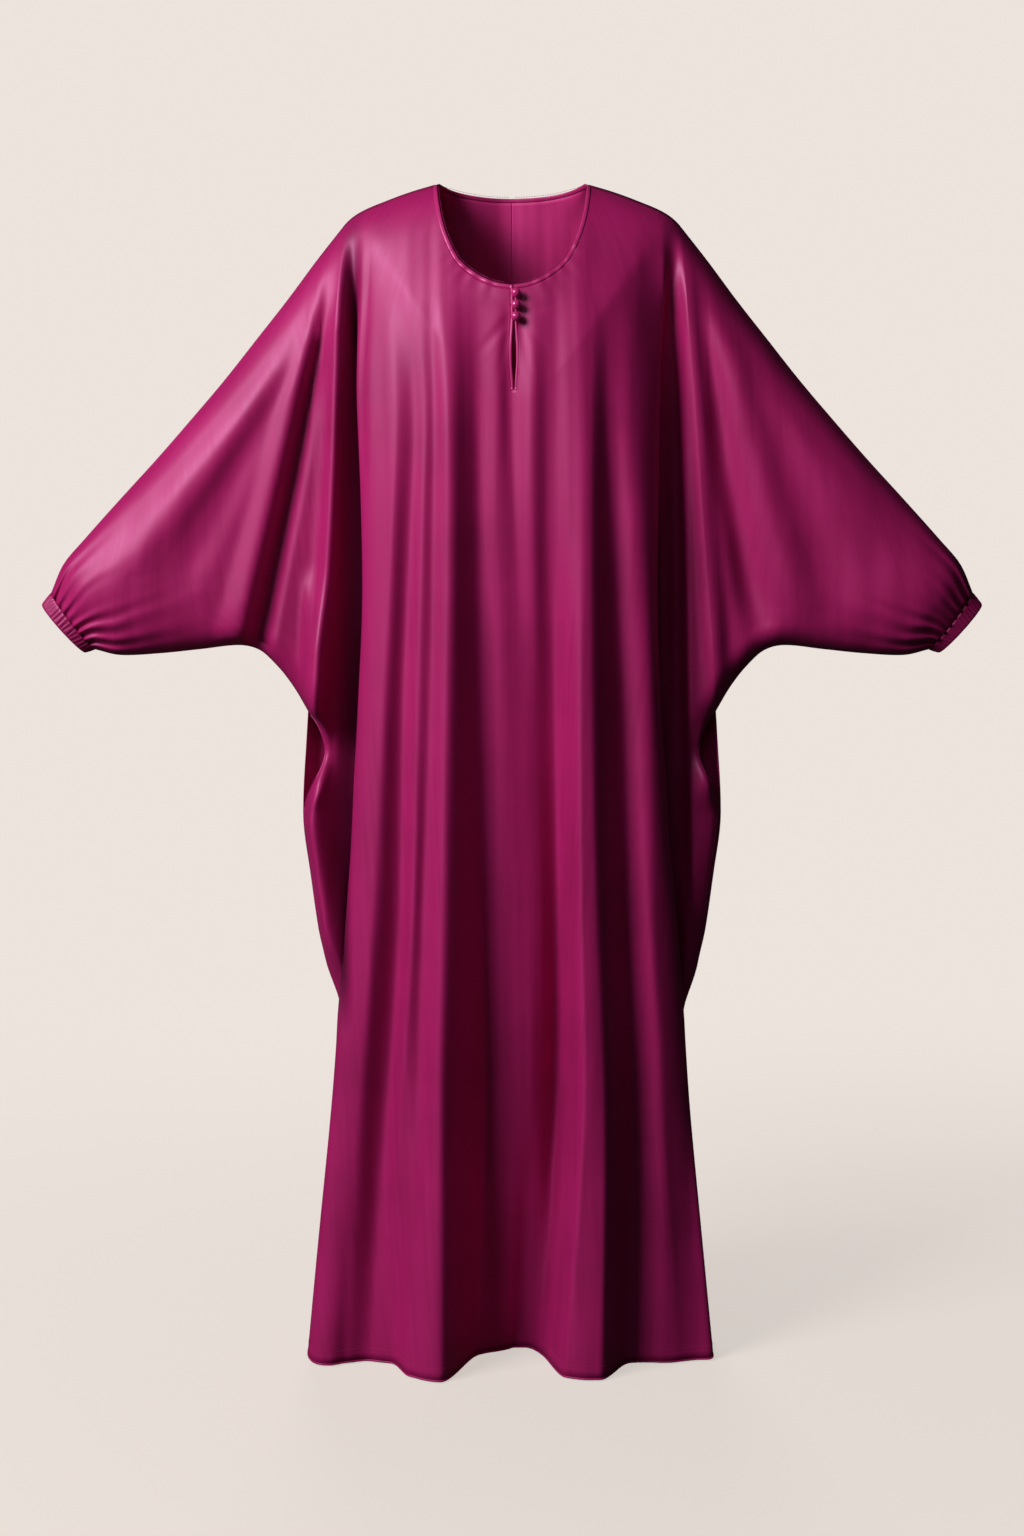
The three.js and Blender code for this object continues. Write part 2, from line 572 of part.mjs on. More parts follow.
// Half of the gap that the slit leaves in the front panel, bindings included
function slitHalfWidth(z) {
  const share = Math.min(Math.max((SLIT_TOP_Z - z) / (SLIT_TOP_Z - SLIT_BOTTOM_Z), 0), 1);
  // Held shut by the buttons at the top, widest at the middle, drawn in a little at the bottom
  const gap = mix(SLIT_GAP_TOP, SLIT_GAP_MIDDLE, step(0.25, 0.6, share)) - step(0.75, 1, share);
  return gap / 2 + SLIT_BINDING_WIDTH + SEAM_GAP;
}

// Adds one half of the body to a grid, as columns of point indices from the centre outwards
function addBodyHalf(grid, { hand, columns, rows, lowerEdge, centreX, centreSeam }) {
  const start = turnStart(hand, SHOULDER_POINT.z);
  const isSideSeam = (z) => z <= OPENING_END_Z || z === UNDERARM_POINT.z;
  const added = columns.map((column, index) => {
    const topX = column.neck ? column.x : mix(column.from, start, column.share);
    const topZ = column.neck ? column.z : shoulderLine(topX);
    return rows.map((rowZ, row) => {
      const z = rowZ + (topZ - SHOULDER_POINT.z) * followsTop(rowZ);
      const even = column.even * turnStart(hand, z);
      const turned = topX + (turnStart(hand, z) - start) * (column.neck ? 0 : column.share);
      const settled = mix(turned, Math.max(even, centreX(z)), step(0, SETTLING_ROWS, row));
      const x = index === 0 ? centreX(z) : settled;
      const seam = row === 0 && topX >= SHOULDER_AND_SLEEVE_TOP[0][0] + BINDING_WIDTH;
      return grid.add({ x: hand * x, z, seam, centreSeam: centreSeam && index === 0 });
    });
  });
  for (const share of FLANGE_SHARES) {
    const topX = mix(start, SHOULDER_POINT.x, share);
    added.push(rows.map((rowZ, row) => {
      const z = rowZ + (shoulderLine(topX) - SHOULDER_POINT.z) * followsTop(rowZ);
      const x = row === 0 ? topX : mix(turnStart(hand, z), bodyEdgeX(z, lowerEdge), share);
      const seam = row === 0 || (share === 1 && isSideSeam(rowZ));
      return grid.add({ x: hand * x, z, seam });
    }));
  }
  for (let i = 1; i < added.length; i += 1) grid.join(added[i - 1], added[i], hand < 0);
  return added;
}

// Adds a sleeve to a grid: lines from the body's edge to the cuff, each from the top to the underarm
function addSleeve(grid, hand, bodyEdge, lineShares, lineCounts) {
  let last = bodyEdge;
  lineShares.forEach((share, index) => {
    const count = lineCounts[index];
    const [topX, topZ] = sleeveTopCurve(share);
    const [lowX, lowZ] = underarmCurve(1 - share);
    const line = Array.from({ length: count }, (_, i) => {
      const even = i / (count - 1);
      const across = mix(even, 0.5 - 0.5 * Math.cos(Math.PI * even), 0.35);
      return grid.add({
        x: hand * mix(topX, lowX, across),
        z: mix(topZ, lowZ, across),
        seam: i === 0 || i === count - 1,
        sleeveEnd: share === 1,
      });
    });
    grid.join(last, line, hand < 0);
    last = line;
  });
}

const ROWS = [...ROWS_ABOVE_UNDERARM, ...ROWS_BELOW_UNDERARM];

function frontPanel() {
  const grid = new PlanGrid();
  const halves = [RIGHT, LEFT].map((hand) => {
    const columns = bodyColumns(FRONT_NECKLINE, FRONT_COLUMNS);
    const centreX = (z) => slitHalfWidth(z) + hand * SLIT_X;
    const lowerEdge = (z) => (z > OPENING_END_Z ? openingX(z) : sideX(z));
    const added = addBodyHalf(grid, { hand, columns, rows: ROWS, lowerEdge, centreX });
    const bodyEdge = added[added.length - 1].slice(0, ROWS_ABOVE_UNDERARM.length);
    addSleeve(grid, hand, bodyEdge, SLEEVE_LINES.shares, SLEEVE_LINES.frontCounts);
    return added;
  });
  const [right, left] = halves.map((added) => added[0].slice(SLIT_ROW));
  grid.join(right, left, false);
  return closedWall(frontDepth, -1, grid.points, grid.triangles);
}

// The centre-back seam parts the back into two halves, each with its own sleeve back
function backHalf(hand) {
  const grid = new PlanGrid();
  const columns = bodyColumns(BACK_NECKLINE, BACK_COLUMNS);
  const rows = ROWS.filter((z) => !BACK_SKIPPED_ROWS.includes(z));
  const centreX = () => SEAM_GAP / 2;
  const half = { hand, columns, rows, lowerEdge: sideX, centreX, centreSeam: true };
  const added = addBodyHalf(grid, half);
  const rowsAbove = rows.filter((z) => z >= UNDERARM_POINT.z).length;
  const bodyEdge = added[added.length - 1].slice(0, rowsAbove);
  addSleeve(grid, hand, bodyEdge, SLEEVE_LINES.shares, SLEEVE_LINES.backCounts);
  const facingBack = grid.triangles.map(([a, b, c]) => [a, c, b]);
  return closedWall(backDepth, 1, grid.points, facingBack);
}

// A narrow strip swept through stations, each with a point, a direction across it and one out of it
function sweptStrip(stations, width, thickness) {
  const section = [
    [-0.5, -0.3], [-0.3, -0.5], [0.3, -0.5], [0.5, -0.3],
    [0.5, 0.3], [0.3, 0.5], [-0.3, 0.5], [-0.5, 0.3],
  ];
  const positions = [];
  for (const { point, across, out } of stations) {
    for (const [a, b] of section) {
      const corner = point.clone().addScaledVector(across, a * width);
      corner.addScaledVector(out, b * thickness);
      positions.push(...corner.toArray());
    }
  }
  const sides = section.length;
  const faces = [];
  for (let i = 1; i < stations.length; i += 1) {
    for (let k = 0; k < sides; k += 1) {
      const a = (i - 1) * sides + k;
      const b = (i - 1) * sides + ((k + 1) % sides);
      faces.push(a, b, a + sides, b, b + sides, a + sides);
    }
  }
  const lastStart = (stations.length - 1) * sides;
  for (let k = 1; k < sides - 1; k += 1) {
    faces.push(0, k + 1, k, lastStart, lastStart + k, lastStart + k + 1);
  }
  const geometry = new THREE.BufferGeometry();
  geometry.setAttribute('position', new THREE.Float32BufferAttribute(positions, 3));
  geometry.setIndex(faces);
  geometry.computeVertexNormals();
  return geometry;
}

// The middle of a layer's wall at a plan point
function wallMiddle(depth, facing, x, z) {
  const inward = inwardNormal(depth, facing, x, z);
  return outerPoint(depth, facing, x, z).addScaledVector(inward, CLOTH / 2);
}

// Stations of a binding beside a wall's edge. Each edge point has the plan direction to the opening
function bindingStations(depth, facing, edges, width) {
  const reach = 1.2;
  const points = edges.map(({ x, z }) => wallMiddle(depth, facing, x, z));
  return edges.map(({ x, z, inX, inZ }, i) => {
    const after = points[Math.min(i + 1, points.length - 1)];
    const before = points[Math.max(i - 1, 0)];
    const tangent = after.clone().sub(before).normalize();
    const across = wallMiddle(depth, facing, x + inX * reach, z + inZ * reach).sub(points[i]);
    across.projectOnPlane(tangent).normalize();
    const out = inwardNormal(depth, facing, x, z).multiplyScalar(-1);
    out.projectOnPlane(tangent).projectOnPlane(across).normalize();
    const point = points[i].clone().addScaledVector(across, SEAM_GAP + width / 2);
    return { point, across, out };
  });
}

// The stations of the neck binding on one half of one layer, from the centre to the neck point
function neckStations(depth, facing, neckline, counts, hand, centreX) {
  const columns = bodyColumns(neckline, counts).filter((column) => column.neck);
  const edges = columns.map((column, index) => {
    const x = index === 0 ? centreX : column.x;
    return { x: hand * x, z: column.z, inX: hand * column.inX, inZ: column.inZ };
  });
  const stations = bindingStations(depth, facing, edges, BINDING_WIDTH);
  const last = stations[counts.neck];
  last.point.addScaledVector(last.across, NECK_POINT_CLEARANCE);
  return stations;
}

// The station on the shoulder seam, between the last one of the front and the last one of the back
function neckPointStation(hand, front, back) {
  const point = front.point.clone().add(back.point).multiplyScalar(0.5);
  point.x = hand * (SHOULDER_AND_SLEEVE_TOP[0][0] + BINDING_WIDTH / 2);
  return { point, across: new THREE.Vector3(-hand, 0, 0), out: new THREE.Vector3(0, 0, 1) };
}

function neckBinding() {
  const stations = [];
  for (const hand of [LEFT, RIGHT]) {
    const slitX = slitHalfWidth(NECKLINE_BOTTOM_Z) + hand * SLIT_X;
    const front = neckStations(frontDepth, -1, FRONT_NECKLINE, FRONT_COLUMNS, hand, slitX);
    const lip = { ...front[0], point: front[0].point.clone() };
    lip.point.x -= hand * (SLIT_BINDING_WIDTH + SEAM_GAP);
    const back = neckStations(backDepth, 1, BACK_NECKLINE, BACK_COLUMNS, hand, SEAM_GAP / 2);
    const neckPoint = neckPointStation(hand, front[FRONT_COLUMNS.neck], back[BACK_COLUMNS.neck]);
    const half = [lip, ...front, neckPoint, ...back.reverse()];
    if (hand === LEFT) stations.push(...half);
    else stations.push(...half.reverse().slice(1));
  }
  return sweptStrip(stations, BINDING_WIDTH, BINDING_THICKNESS);
}

function slitBinding(hand) {
  const top = NECKLINE_BOTTOM_Z - BINDING_WIDTH - SEAM_GAP;
  const edges = ROWS.slice(0, SLIT_ROW + 1).map((rowZ, row) => {
    const aboveEnd = row === SLIT_ROW ? 2 * SEAM_GAP : 0;
    const z = rowZ + (top - SHOULDER_POINT.z) * followsTop(rowZ) + aboveEnd;
    return { x: SLIT_X + hand * slitHalfWidth(z), z, inX: -hand, inZ: 0 };
  });
  const stations = bindingStations(frontDepth, -1, edges, SLIT_BINDING_WIDTH);
  if (hand === LEFT) stations.reverse();
  return sweptStrip(stations, SLIT_BINDING_WIDTH, SLIT_BINDING_THICKNESS);
}

// Buttons and loops stand on the slit bindings

function slitBindingFace(hand, z) {
  const edge = (at) => ({ x: SLIT_X + hand * slitHalfWidth(at), z: at, inX: -hand, inZ: 0 });
  const edges = [edge(z + 2), edge(z), edge(z - 2)];
  const { point, out } = bindingStations(frontDepth, -1, edges, SLIT_BINDING_WIDTH)[1];
  return point.addScaledVector(out, SLIT_BINDING_THICKNESS / 2 + SEAM_GAP);
}

function ballButton(z) {
  const profile = [[0, 0], [SHANK_RADIUS, 0], [SHANK_RADIUS, SHANK_LENGTH]];
  const startAngle = Math.asin(SHANK_RADIUS / BUTTON_RADIUS) + 0.12;
  const centre = SHANK_LENGTH + BUTTON_RADIUS * Math.cos(startAngle);
  for (let i = 0; i < BALL_STEPS; i += 1) {
    const angle = mix(startAngle, Math.PI, i / BALL_STEPS);
    profile.push([BUTTON_RADIUS * Math.sin(angle), centre - BUTTON_RADIUS * Math.cos(angle)]);
  }
  profile.push([0, centre + BUTTON_RADIUS]);
  const outline = profile.map(([radius, height]) => new THREE.Vector2(radius, height));
  const geometry = new THREE.LatheGeometry(outline, BALL_SIDES);
  const mesh = new THREE.Mesh(geometry);
  mesh.position.copy(slitBindingFace(LEFT, z));
  mesh.rotation.x = Math.PI;
  return mesh;
}

function buttonLoop(z) {
  const shank = slitBindingFace(LEFT, z);
  const root = slitBindingFace(RIGHT, z);
  const bend = SHANK_RADIUS + SEAM_GAP + LOOP_RADIUS;
  const loopY = Math.min(shank.y, root.y) - LOOP_RADIUS - SEAM_GAP;
  const points = [];
  for (let i = 0; i <= 6; i += 1) {
    const angle = Math.PI * (0.5 - i / 6);
    const x = shank.x + bend * Math.cos(angle);
    points.push(new THREE.Vector3(x, loopY, z + bend * Math.sin(angle)));
  }
  const top = new THREE.Vector3(root.x - LOOP_ROOT_INSET, loopY, z + bend);
  const low = new THREE.Vector3(root.x - LOOP_ROOT_INSET, loopY, z - bend);
  const path = new THREE.CatmullRomCurve3([top, ...points, low], false, 'centripetal');
  const section = new THREE.Shape(
    Array.from({ length: 6 }, (_, i) => {
      const angle = (i * Math.PI) / 3;
      return new THREE.Vector2(LOOP_RADIUS * Math.cos(angle), LOOP_RADIUS * Math.sin(angle));
    }),
  );
  return new THREE.ExtrudeGeometry(section, { steps: 18, extrudePath: path, bevelEnabled: false });
}

// An elasticated cuff: an oval tube with shirring ribs outside and a plain inside
function cuff(hand) {
  const { centre, long, axis } = cuffFrame(hand);
  const halfLong = sleeveEndTop.distanceTo(sleeveEndLow) / 2;
  const halfDeep = PUFF_DEPTH.half[0] + CLOTH + SEAM_GAP / 2;
  const shares = [0, 0.12, 0.5, 0.88, 1];
  const around = CUFF_RIBS * 2;
  const corner = (share, angle, inset) => {
    const taper = mix(1, CUFF_TAPER, share);
    const a = (halfLong * taper - inset) * Math.cos(angle);
    const b = (halfDeep * taper - inset) * Math.sin(angle);
    const along = SEAM_GAP + share * (CUFF_WIDTH + CUFF_TILT * Math.cos(angle));
    const point = centre.clone().addScaledVector(long, a).addScaledVector(axis, along);
    point.y = -b;
    return point.toArray();
  };
  const ring = (share, inset) => Array.from({ length: around }, (_, k) => {
    return corner(share, (2 * Math.PI * k) / around, inset(k));
  });
  const rings = shares.map((share) => ring(share, (k) => {
    const onRib = k % 2 === 0 && share > 0 && share < 1;
    return (onRib ? -CUFF_RIB_HEIGHT : CUFF_RIB_HEIGHT) / 2;
  }));
  rings.push(ring(1, () => CUFF_THICKNESS), ring(0, () => CUFF_THICKNESS));
  const faces = [];
  rings.forEach((_, r) => {
    const next = ((r + 1) % rings.length) * around;
    const here = r * around;
    for (let k = 0; k < around; k += 1) {
      const after = (k + 1) % around;
      const quad = [here + k, here + after, next + after, next + k];
      if (hand === RIGHT) quad.reverse();
      faces.push(quad[0], quad[1], quad[2], quad[0], quad[2], quad[3]);
    }
  });
  const geometry = new THREE.BufferGeometry();
  geometry.setAttribute('position', new THREE.Float32BufferAttribute(rings.flat(2), 3));
  geometry.setIndex(faces);
  geometry.computeVertexNormals();
  return geometry;
}

// The whole garment

function satin(color, roughness) {
  return new THREE.MeshStandardMaterial({ color, roughness, metalness: 0 });
}

function named(name, shape, color = SATIN, roughness = 0.42) {
  const mesh = shape.isMesh ? shape : new THREE.Mesh(shape);
  mesh.name = name;
  mesh.material = satin(color, roughness);
  return mesh;
}

const abaya = new THREE.Group();
abaya.add(named('front_panel', frontPanel()));
abaya.add(named('back_left', backHalf(LEFT)));
abaya.add(named('back_right', backHalf(RIGHT)));
abaya.add(named('neck_binding', neckBinding(), SATIN_EDGE));
abaya.add(named('slit_binding_left', slitBinding(LEFT), SATIN_EDGE));
abaya.add(named('slit_binding_right', slitBinding(RIGHT), SATIN_EDGE));
BUTTON_HEIGHTS.forEach((z, i) => {
  abaya.add(named(`button_${i + 1}`, ballButton(z), SATIN_EDGE, 0.18));
  abaya.add(named(`loop_${i + 1}`, buttonLoop(z), SATIN_EDGE));
});
abaya.add(named('cuff_left', cuff(LEFT)));
abaya.add(named('cuff_right', cuff(RIGHT)));

export default abaya;
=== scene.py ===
import math

import bpy
import numpy as np
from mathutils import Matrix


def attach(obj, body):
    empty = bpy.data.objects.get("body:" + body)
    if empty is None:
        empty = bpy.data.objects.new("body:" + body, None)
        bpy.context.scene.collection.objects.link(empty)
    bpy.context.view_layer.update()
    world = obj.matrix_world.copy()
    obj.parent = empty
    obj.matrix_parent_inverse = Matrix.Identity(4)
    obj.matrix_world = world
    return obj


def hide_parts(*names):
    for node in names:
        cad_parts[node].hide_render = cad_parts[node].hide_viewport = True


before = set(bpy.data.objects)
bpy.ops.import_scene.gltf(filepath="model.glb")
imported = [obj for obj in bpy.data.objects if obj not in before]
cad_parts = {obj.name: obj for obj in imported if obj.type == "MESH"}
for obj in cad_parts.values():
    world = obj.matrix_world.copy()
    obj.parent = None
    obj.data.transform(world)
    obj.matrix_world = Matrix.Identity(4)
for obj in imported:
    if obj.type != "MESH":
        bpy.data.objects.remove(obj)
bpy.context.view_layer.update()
MM = 0.001

# The camera stands 3.2 m in front of the garment at about chest height and looks a little down.
# Its picture is upright, 1024 by 1536, so the lens is set for the long side.
SENSOR_WIDTH, CAMERA_LENS = 36.0, 61.69
CAMERA_PLACE = (0.0, -3.2, -0.2131)
CAMERA_TILT_DOWN = 8.7
camera_data = bpy.data.cameras.new("camera")
camera_data.sensor_width = SENSOR_WIDTH
camera_data.lens = CAMERA_LENS
camera = bpy.data.objects.new("camera", camera_data)
camera.location = CAMERA_PLACE
camera.rotation_euler = (math.radians(90.0 - CAMERA_TILT_DOWN), 0.0, 0.0)
bpy.context.scene.collection.objects.link(camera)
bpy.context.scene.camera = camera

# The front panel is one piece of heavy satin, cut with both sleeve fronts in one with the body.
# It hangs from the shoulder seams and wraps back at its sides. The neck and slit are cut into it.
# Its surface is a depth worked out over a plan (x, z) seen from the front, in millimetres.
HEM_Z = -1446.0
SHOULDER_POINT = (199.0, -47.0)
UNDERARM_POINT = (250.0, -632.0)
OPENING_END_Z = -757.0
OPENING_MIDDLE_Z = -690.0
OPENING_HALF_HEIGHT = 64.0
OPENING_FORWARD = 40.0
CLOTH = 0.7
CENTRE_ROUNDING = 30.0
LEFT, RIGHT = 1, -1

# Outlines of one side, as lines of (x, z) points
SHOULDER_AND_SLEEVE_TOP = [
    (89, 0), (120, -9), (148, -19), (181, -33), (199, -47), (233, -89), (269, -136), (307, -183),
    (346, -231), (387, -278), (430, -326), (475, -374), (520, -423), (545, -452), (561, -487),
]
RIDGE_OVER_FRONT_NECK = [(0, 40), (50, 25), (89, 0)]
UNDERARM = [
    (509, -556), (479, -563), (430, -561), (381, -556), (332, -551), (308, -557), (288, -575),
    (268, -601), (250, -632),
]
SIDE = [
    (250, -632), (253, -675), (257, -735), (257, -775), (250, -830), (240, -906), (232, -944),
    (226, -983), (223, -1015), (224, -1060), (229, -1132), (244, -1290), (259, HEM_Z),
]
SIDE_OF_FRONT_AT_OPENING = [
    (250, -632), (238, -647), (230, -668), (229, -683), (234, -699), (245, -720), (253, -738),
    (257, OPENING_END_Z),
]
FRONT_NECKLINE = [(89.3, 0), (84, -34), (76, -62), (61, -91), (40, -108), (20, -117), (0, -120.5)]
SLEEVE_END = [(561, -487), (509, -556)]
HEM_CORNER_RISE, HEM_CORNER_WIDTH, HEM_CORNER_REACH = 16.0, 26.0, 60.0

# How deep the body and the sleeve are at each distance below their top seam, and how the sleeve
# puffs out at each distance from its cuff
BODY_DROP = [0, 15, 40, 80, 130, 190, 260, 400, 700, 1000, 1500]
FRONT_BODY_DEPTH = [0, 24, 46, 70, 92, 106, 113, 114, 116, 122, 134]
SLEEVE_DROP = [0, 10, 25, 50, 90, 150, 250, 400, 700, 1500]
FRONT_SLEEVE_DEPTH = [0, 21, 36, 47, 46, 42, 36, 30, 24, 20]
PUFF_AWAY = [0, 14, 40, 80, 140, 260]
PUFF_HALF_DEPTH = [23, 32, 44, 49, 47, 44]
PUFF_START, PUFF_END = 60.0, 220.0
SQUARE_AT_CHEST, SQUARE_AT_HEM = 6.0, 3.2
MEETING_SHARPNESS = 5.0
LEAST_DEPTH = 8.0
SEAM_ROUNDING, CORNER_ROUNDING = 30.0, 20.0
FOLDS_BELOW_TOP, FOLDS_FROM_SEAM = 70.0, 13.0

# Where the body turns back beside the sleeves, at each height and on each side
BODY_TURN_Z = [
    -47, -137, -254, -371, -490, -611, -708, -794, -878, -996, -1044, -1132, -1290, HEM_Z,
]
BODY_TURN_RIGHT = [189, 186, 183, 179, 178, 184, 190, 195, 203, 213, 216, 224, 241, 257]
BODY_TURN_LEFT = [184, 181, 175, 174, 173, 178, 186, 192, 201, 211, 214, 221, 237, 253]
TURN_ROLL, TURN_ROLL_REACH = 10.0, 24.0
TURN_WIDTH = 16.0
TURN_TUCK, TURN_TUCK_REACH = 12.0, 18.0
TURN_STARTS_Z, TURN_FULL_Z = -70.0, -260.0

# Creases down the front of the body, one crest or valley a row, from -X to +X. The first part is
# its x at each of the levels, the second how far it stands out from the plain form there.
CREASE_LEVELS_Z = [-130, -260, -405, -631, -872, -1119, HEM_Z]
FRONT_CREASES = [
    ((-165, -165, -172, -185, -202, -216, -238), (0, 0, 0, 0, 0, 0, 0)),
    ((-148, -138, -143, -157, -172, -190, -206), (0, 1, 2, 3, 0, -10, -30)),
    ((-128, -116, -120, -130, -136, -154, -176), (0, -6, -11, -17, -28, -43, -50)),
    ((-110, -100, -104, -111, -119, -134, -150), (0, -2, -3, -4, -9, -24, -50)),
    ((-98, -92, -94, -99, -108, -118, -127), (0, -3, -5, -7, -13, -22, -12)),
    ((-80, -74, -73, -77, -82, -88, -88), (1, 6, 6, 6, 5, 3, 2)),
    ((-42, -40, -39, -34, -28, -28, -42), (-2, -10, -15, -29, -50, -74, -90)),
    ((-18, -17, -17, -6, 4, 8, -8), (-1, -5, -9, -26, -47, -72, -108)),
    ((-6, -3, 2, 12, 18, 22, 10), (-1, -9, -10, -27, -48, -73, -120)),
    ((28, 24, 24, 28, 34, 34, 24), (0, 1, -3, -30, -52, -78, -112)),
    ((45, 44, 44, 50, 54, 54, 36), (0, -3, -8, -37, -66, -96, -94)),
    ((84, 84, 84, 82, 84, 88, 66), (1, 5, 6, 6, 4, 0, -14)),
    ((94, 91, 91, 92, 100, 110, 108), (0, 4, 5, 5, 2, -2, -3)),
    ((115, 113, 119, 132, 140, 150, 148), (-1, -6, -16, -26, -38, -48, -52)),
    ((146, 146, 152, 162, 172, 190, 200), (0, 1, 3, -2, -10, -20, -33)),
    ((165, 168, 176, 186, 192, 206, 226), (-1, -5, -8, -10, -12, -20, -22)),
    ((176, 180, 187, 199, 212, 230, 252), (0, 0, 0, 0, 0, 0, 0)),
]

# Folds: x at top, middle and end, z at the same places, the half widths on the side of -X at top
# and end, those on the side of +X, and the heights at top and end. A trough has a negative height.
FRONT_FOLDS = [
    ((-188, -190, -200), (-70, -480, -985), (17, 30), (15, 12), (-15, -32)),
    ((-169, -168, -166), (-90, -200, -340), (5, 7), (4, 5), (-2, -4)),
    ((-202, -214, -234), (-70, -360, -640), (14, 22), (14, 20), (10, 34)),
    ((-243, -248, -218), (-500, -730, -985), (12, 12), (36, 30), (32, 26)),
    ((-206, -260, -314), (-70, -340, -580), (9, 24), (9, 22), (-11, -18)),
    ((-214, -280, -332), (-90, -335, -545), (14, 36), (12, 24), (3, 13)),
    ((-236, -316, -404), (-150, -313, -480), (16, 40), (14, 34), (-2, -5)),
    ((-264, -362, -470), (-200, -325, -460), (18, 44), (18, 40), (2, 6)),
    ((191, 197, 208), (-70, -400, -985), (15, 12), (14, 18), (-15, -30)),
    ((206, 225, 246), (-80, -330, -590), (12, 18), (14, 24), (4, 12)),
    ((218, 252, 296), (-110, -313, -520), (14, 26), (14, 28), (-5, -13)),
    ((240, 292, 342), (-130, -330, -500), (16, 34), (16, 40), (3, 10)),
    ((280, 334, 390), (-190, -330, -480), (16, 34), (18, 40), (-2, -5)),
]
# Painted shade: the satin's colour is darkened towards near-black inside the deepest fold of the
# front, in place of the shade that fold holds. Its strength at the fold's top and end, and how far
# it spreads:
DEEPEST_FOLD = FRONT_FOLDS[0]
PAINTED_SHADE_AT_TOP, PAINTED_SHADE_AT_END, PAINTED_SHADE_SPREAD = 0.6, 1.0, 0.7
FOLD_FADE = 110.0
STREAK_HEIGHT = 0.4
# Short puckers fan out below the front neckline; fine creases pull towards the buttons
PUCKER_SPACING = 0.17
PUCKER_HEIGHT = 1.1
PUCKER_LENGTH = 15.0
PUCKER_CENTRE_Z = -30.0
# Each pull runs from its button to where it fades, with its half width and height
PULLS = [
    ((-4, -153), (-56, -136), 7, -1.0), ((-4, -160), (-42, -202), 9, -1.6),
    ((-3, -168), (-18, -236), 7, -1.2), ((-4, -146), (-40, -124), 6, -0.8),
    ((9, -153), (58, -142), 7, -0.8), ((9, -161), (46, -198), 8, -1.3),
    ((10, -168), (24, -238), 7, -1.2),
]
GATHERS_PER_LAYER = 8
GATHER_HEIGHT = 3.0
GATHER_LENGTH = 30.0


def smooth_through(keys, values):
    """A smooth line through the values at the keys."""
    keys, values = np.array(keys, float), np.array(values, float)
    if keys[0] > keys[-1]:
        keys, values = keys[::-1], values[::-1]
    before = np.maximum(np.arange(len(keys)) - 1, 0)
    after = np.minimum(np.arange(len(keys)) + 1, len(keys) - 1)
    slope = (values[after] - values[before]) / (keys[after] - keys[before])

    def at(key):
        key = np.clip(key, keys[0], keys[-1])
        i = np.clip(np.searchsorted(keys, key, side="right") - 1, 0, len(keys) - 2)
        span = keys[i + 1] - keys[i]
        t = (key - keys[i]) / span
        low = (1 + 2 * t) * (1 - t) ** 2 * values[i] + t * (1 - t) ** 2 * span * slope[i]
        high = t**2 * (3 - 2 * t) * values[i + 1] + t**2 * (t - 1) * span * slope[i + 1]
        return low + high

    return at


def lengths_along(points):
    return np.concatenate([[0], np.cumsum(np.linalg.norm(np.diff(points, axis=0), axis=1))])


def curve_through(points):
    """A smooth curve through points of the plan, found from a share of its length."""
    points = np.array(points, float)
    along = lengths_along(points)
    x, z = smooth_through(along, points[:, 0]), smooth_through(along, points[:, 1])
    return lambda share: (x(np.asarray(share) * along[-1]), z(np.asarray(share) * along[-1]))


def mix(a, b, t):
    return a + (b - a) * t


def step(low, high, value):
    t = np.clip((value - low) / (high - low), 0, 1)
    return t * t * (3 - 2 * t)


def lobe(distance, half_width):
    inside = np.abs(distance) < half_width
    return np.where(inside, np.cos(np.pi / 2 * distance / half_width) ** 2, 0)


def line_of(curve, count):
    x, z = curve(np.linspace(0, 1, count + 1))
    return list(zip(x, z))


def distance_to(line, x, z):
    best = np.full(np.shape(x), np.inf)
    for (ax, az), (bx, bz) in zip(line[:-1], line[1:]):
        dx, dz = bx - ax, bz - az
        length_squared = dx * dx + dz * dz
        if length_squared == 0:
            continue
        t = np.clip(((x - ax) * dx + (z - az) * dz) / length_squared, 0, 1)
        best = np.minimum(best, np.hypot(x - ax - t * dx, z - az - t * dz))
    return best


top_curve = curve_through(SHOULDER_AND_SLEEVE_TOP)
sleeve_top_curve = curve_through(SHOULDER_AND_SLEEVE_TOP[4:])
underarm_curve = curve_through(UNDERARM)
shoulder_line = smooth_through(
    [x for x, _ in SHOULDER_AND_SLEEVE_TOP[:12]], [z for _, z in SHOULDER_AND_SLEEVE_TOP[:12]]
)
side_x = smooth_through([z for _, z in SIDE], [x for x, _ in SIDE])
opening_x = smooth_through(
    [z for _, z in SIDE_OF_FRONT_AT_OPENING], [x for x, _ in SIDE_OF_FRONT_AT_OPENING]
)
underarm_line = line_of(underarm_curve, 40)
back_side_line = line_of(curve_through(SIDE), 60)
front_side_line = line_of(curve_through(SIDE_OF_FRONT_AT_OPENING), 24) + [
    point for point in back_side_line if point[1] < OPENING_END_Z - 5
]
turn_right = smooth_through(BODY_TURN_Z, BODY_TURN_RIGHT)
turn_left = smooth_through(BODY_TURN_Z, BODY_TURN_LEFT)


def hem_corner(x):
    """How far the hem curves up at the foot of the side seams."""
    return HEM_CORNER_RISE * step(side_x(HEM_Z) - HEM_CORNER_WIDTH, side_x(HEM_Z), np.abs(x)) ** 2


def turn_start(x, z):
    """How far from the middle the body begins to turn back."""
    return np.where(np.asarray(x) < 0, turn_right(z), turn_left(z)) - TURN_ROLL


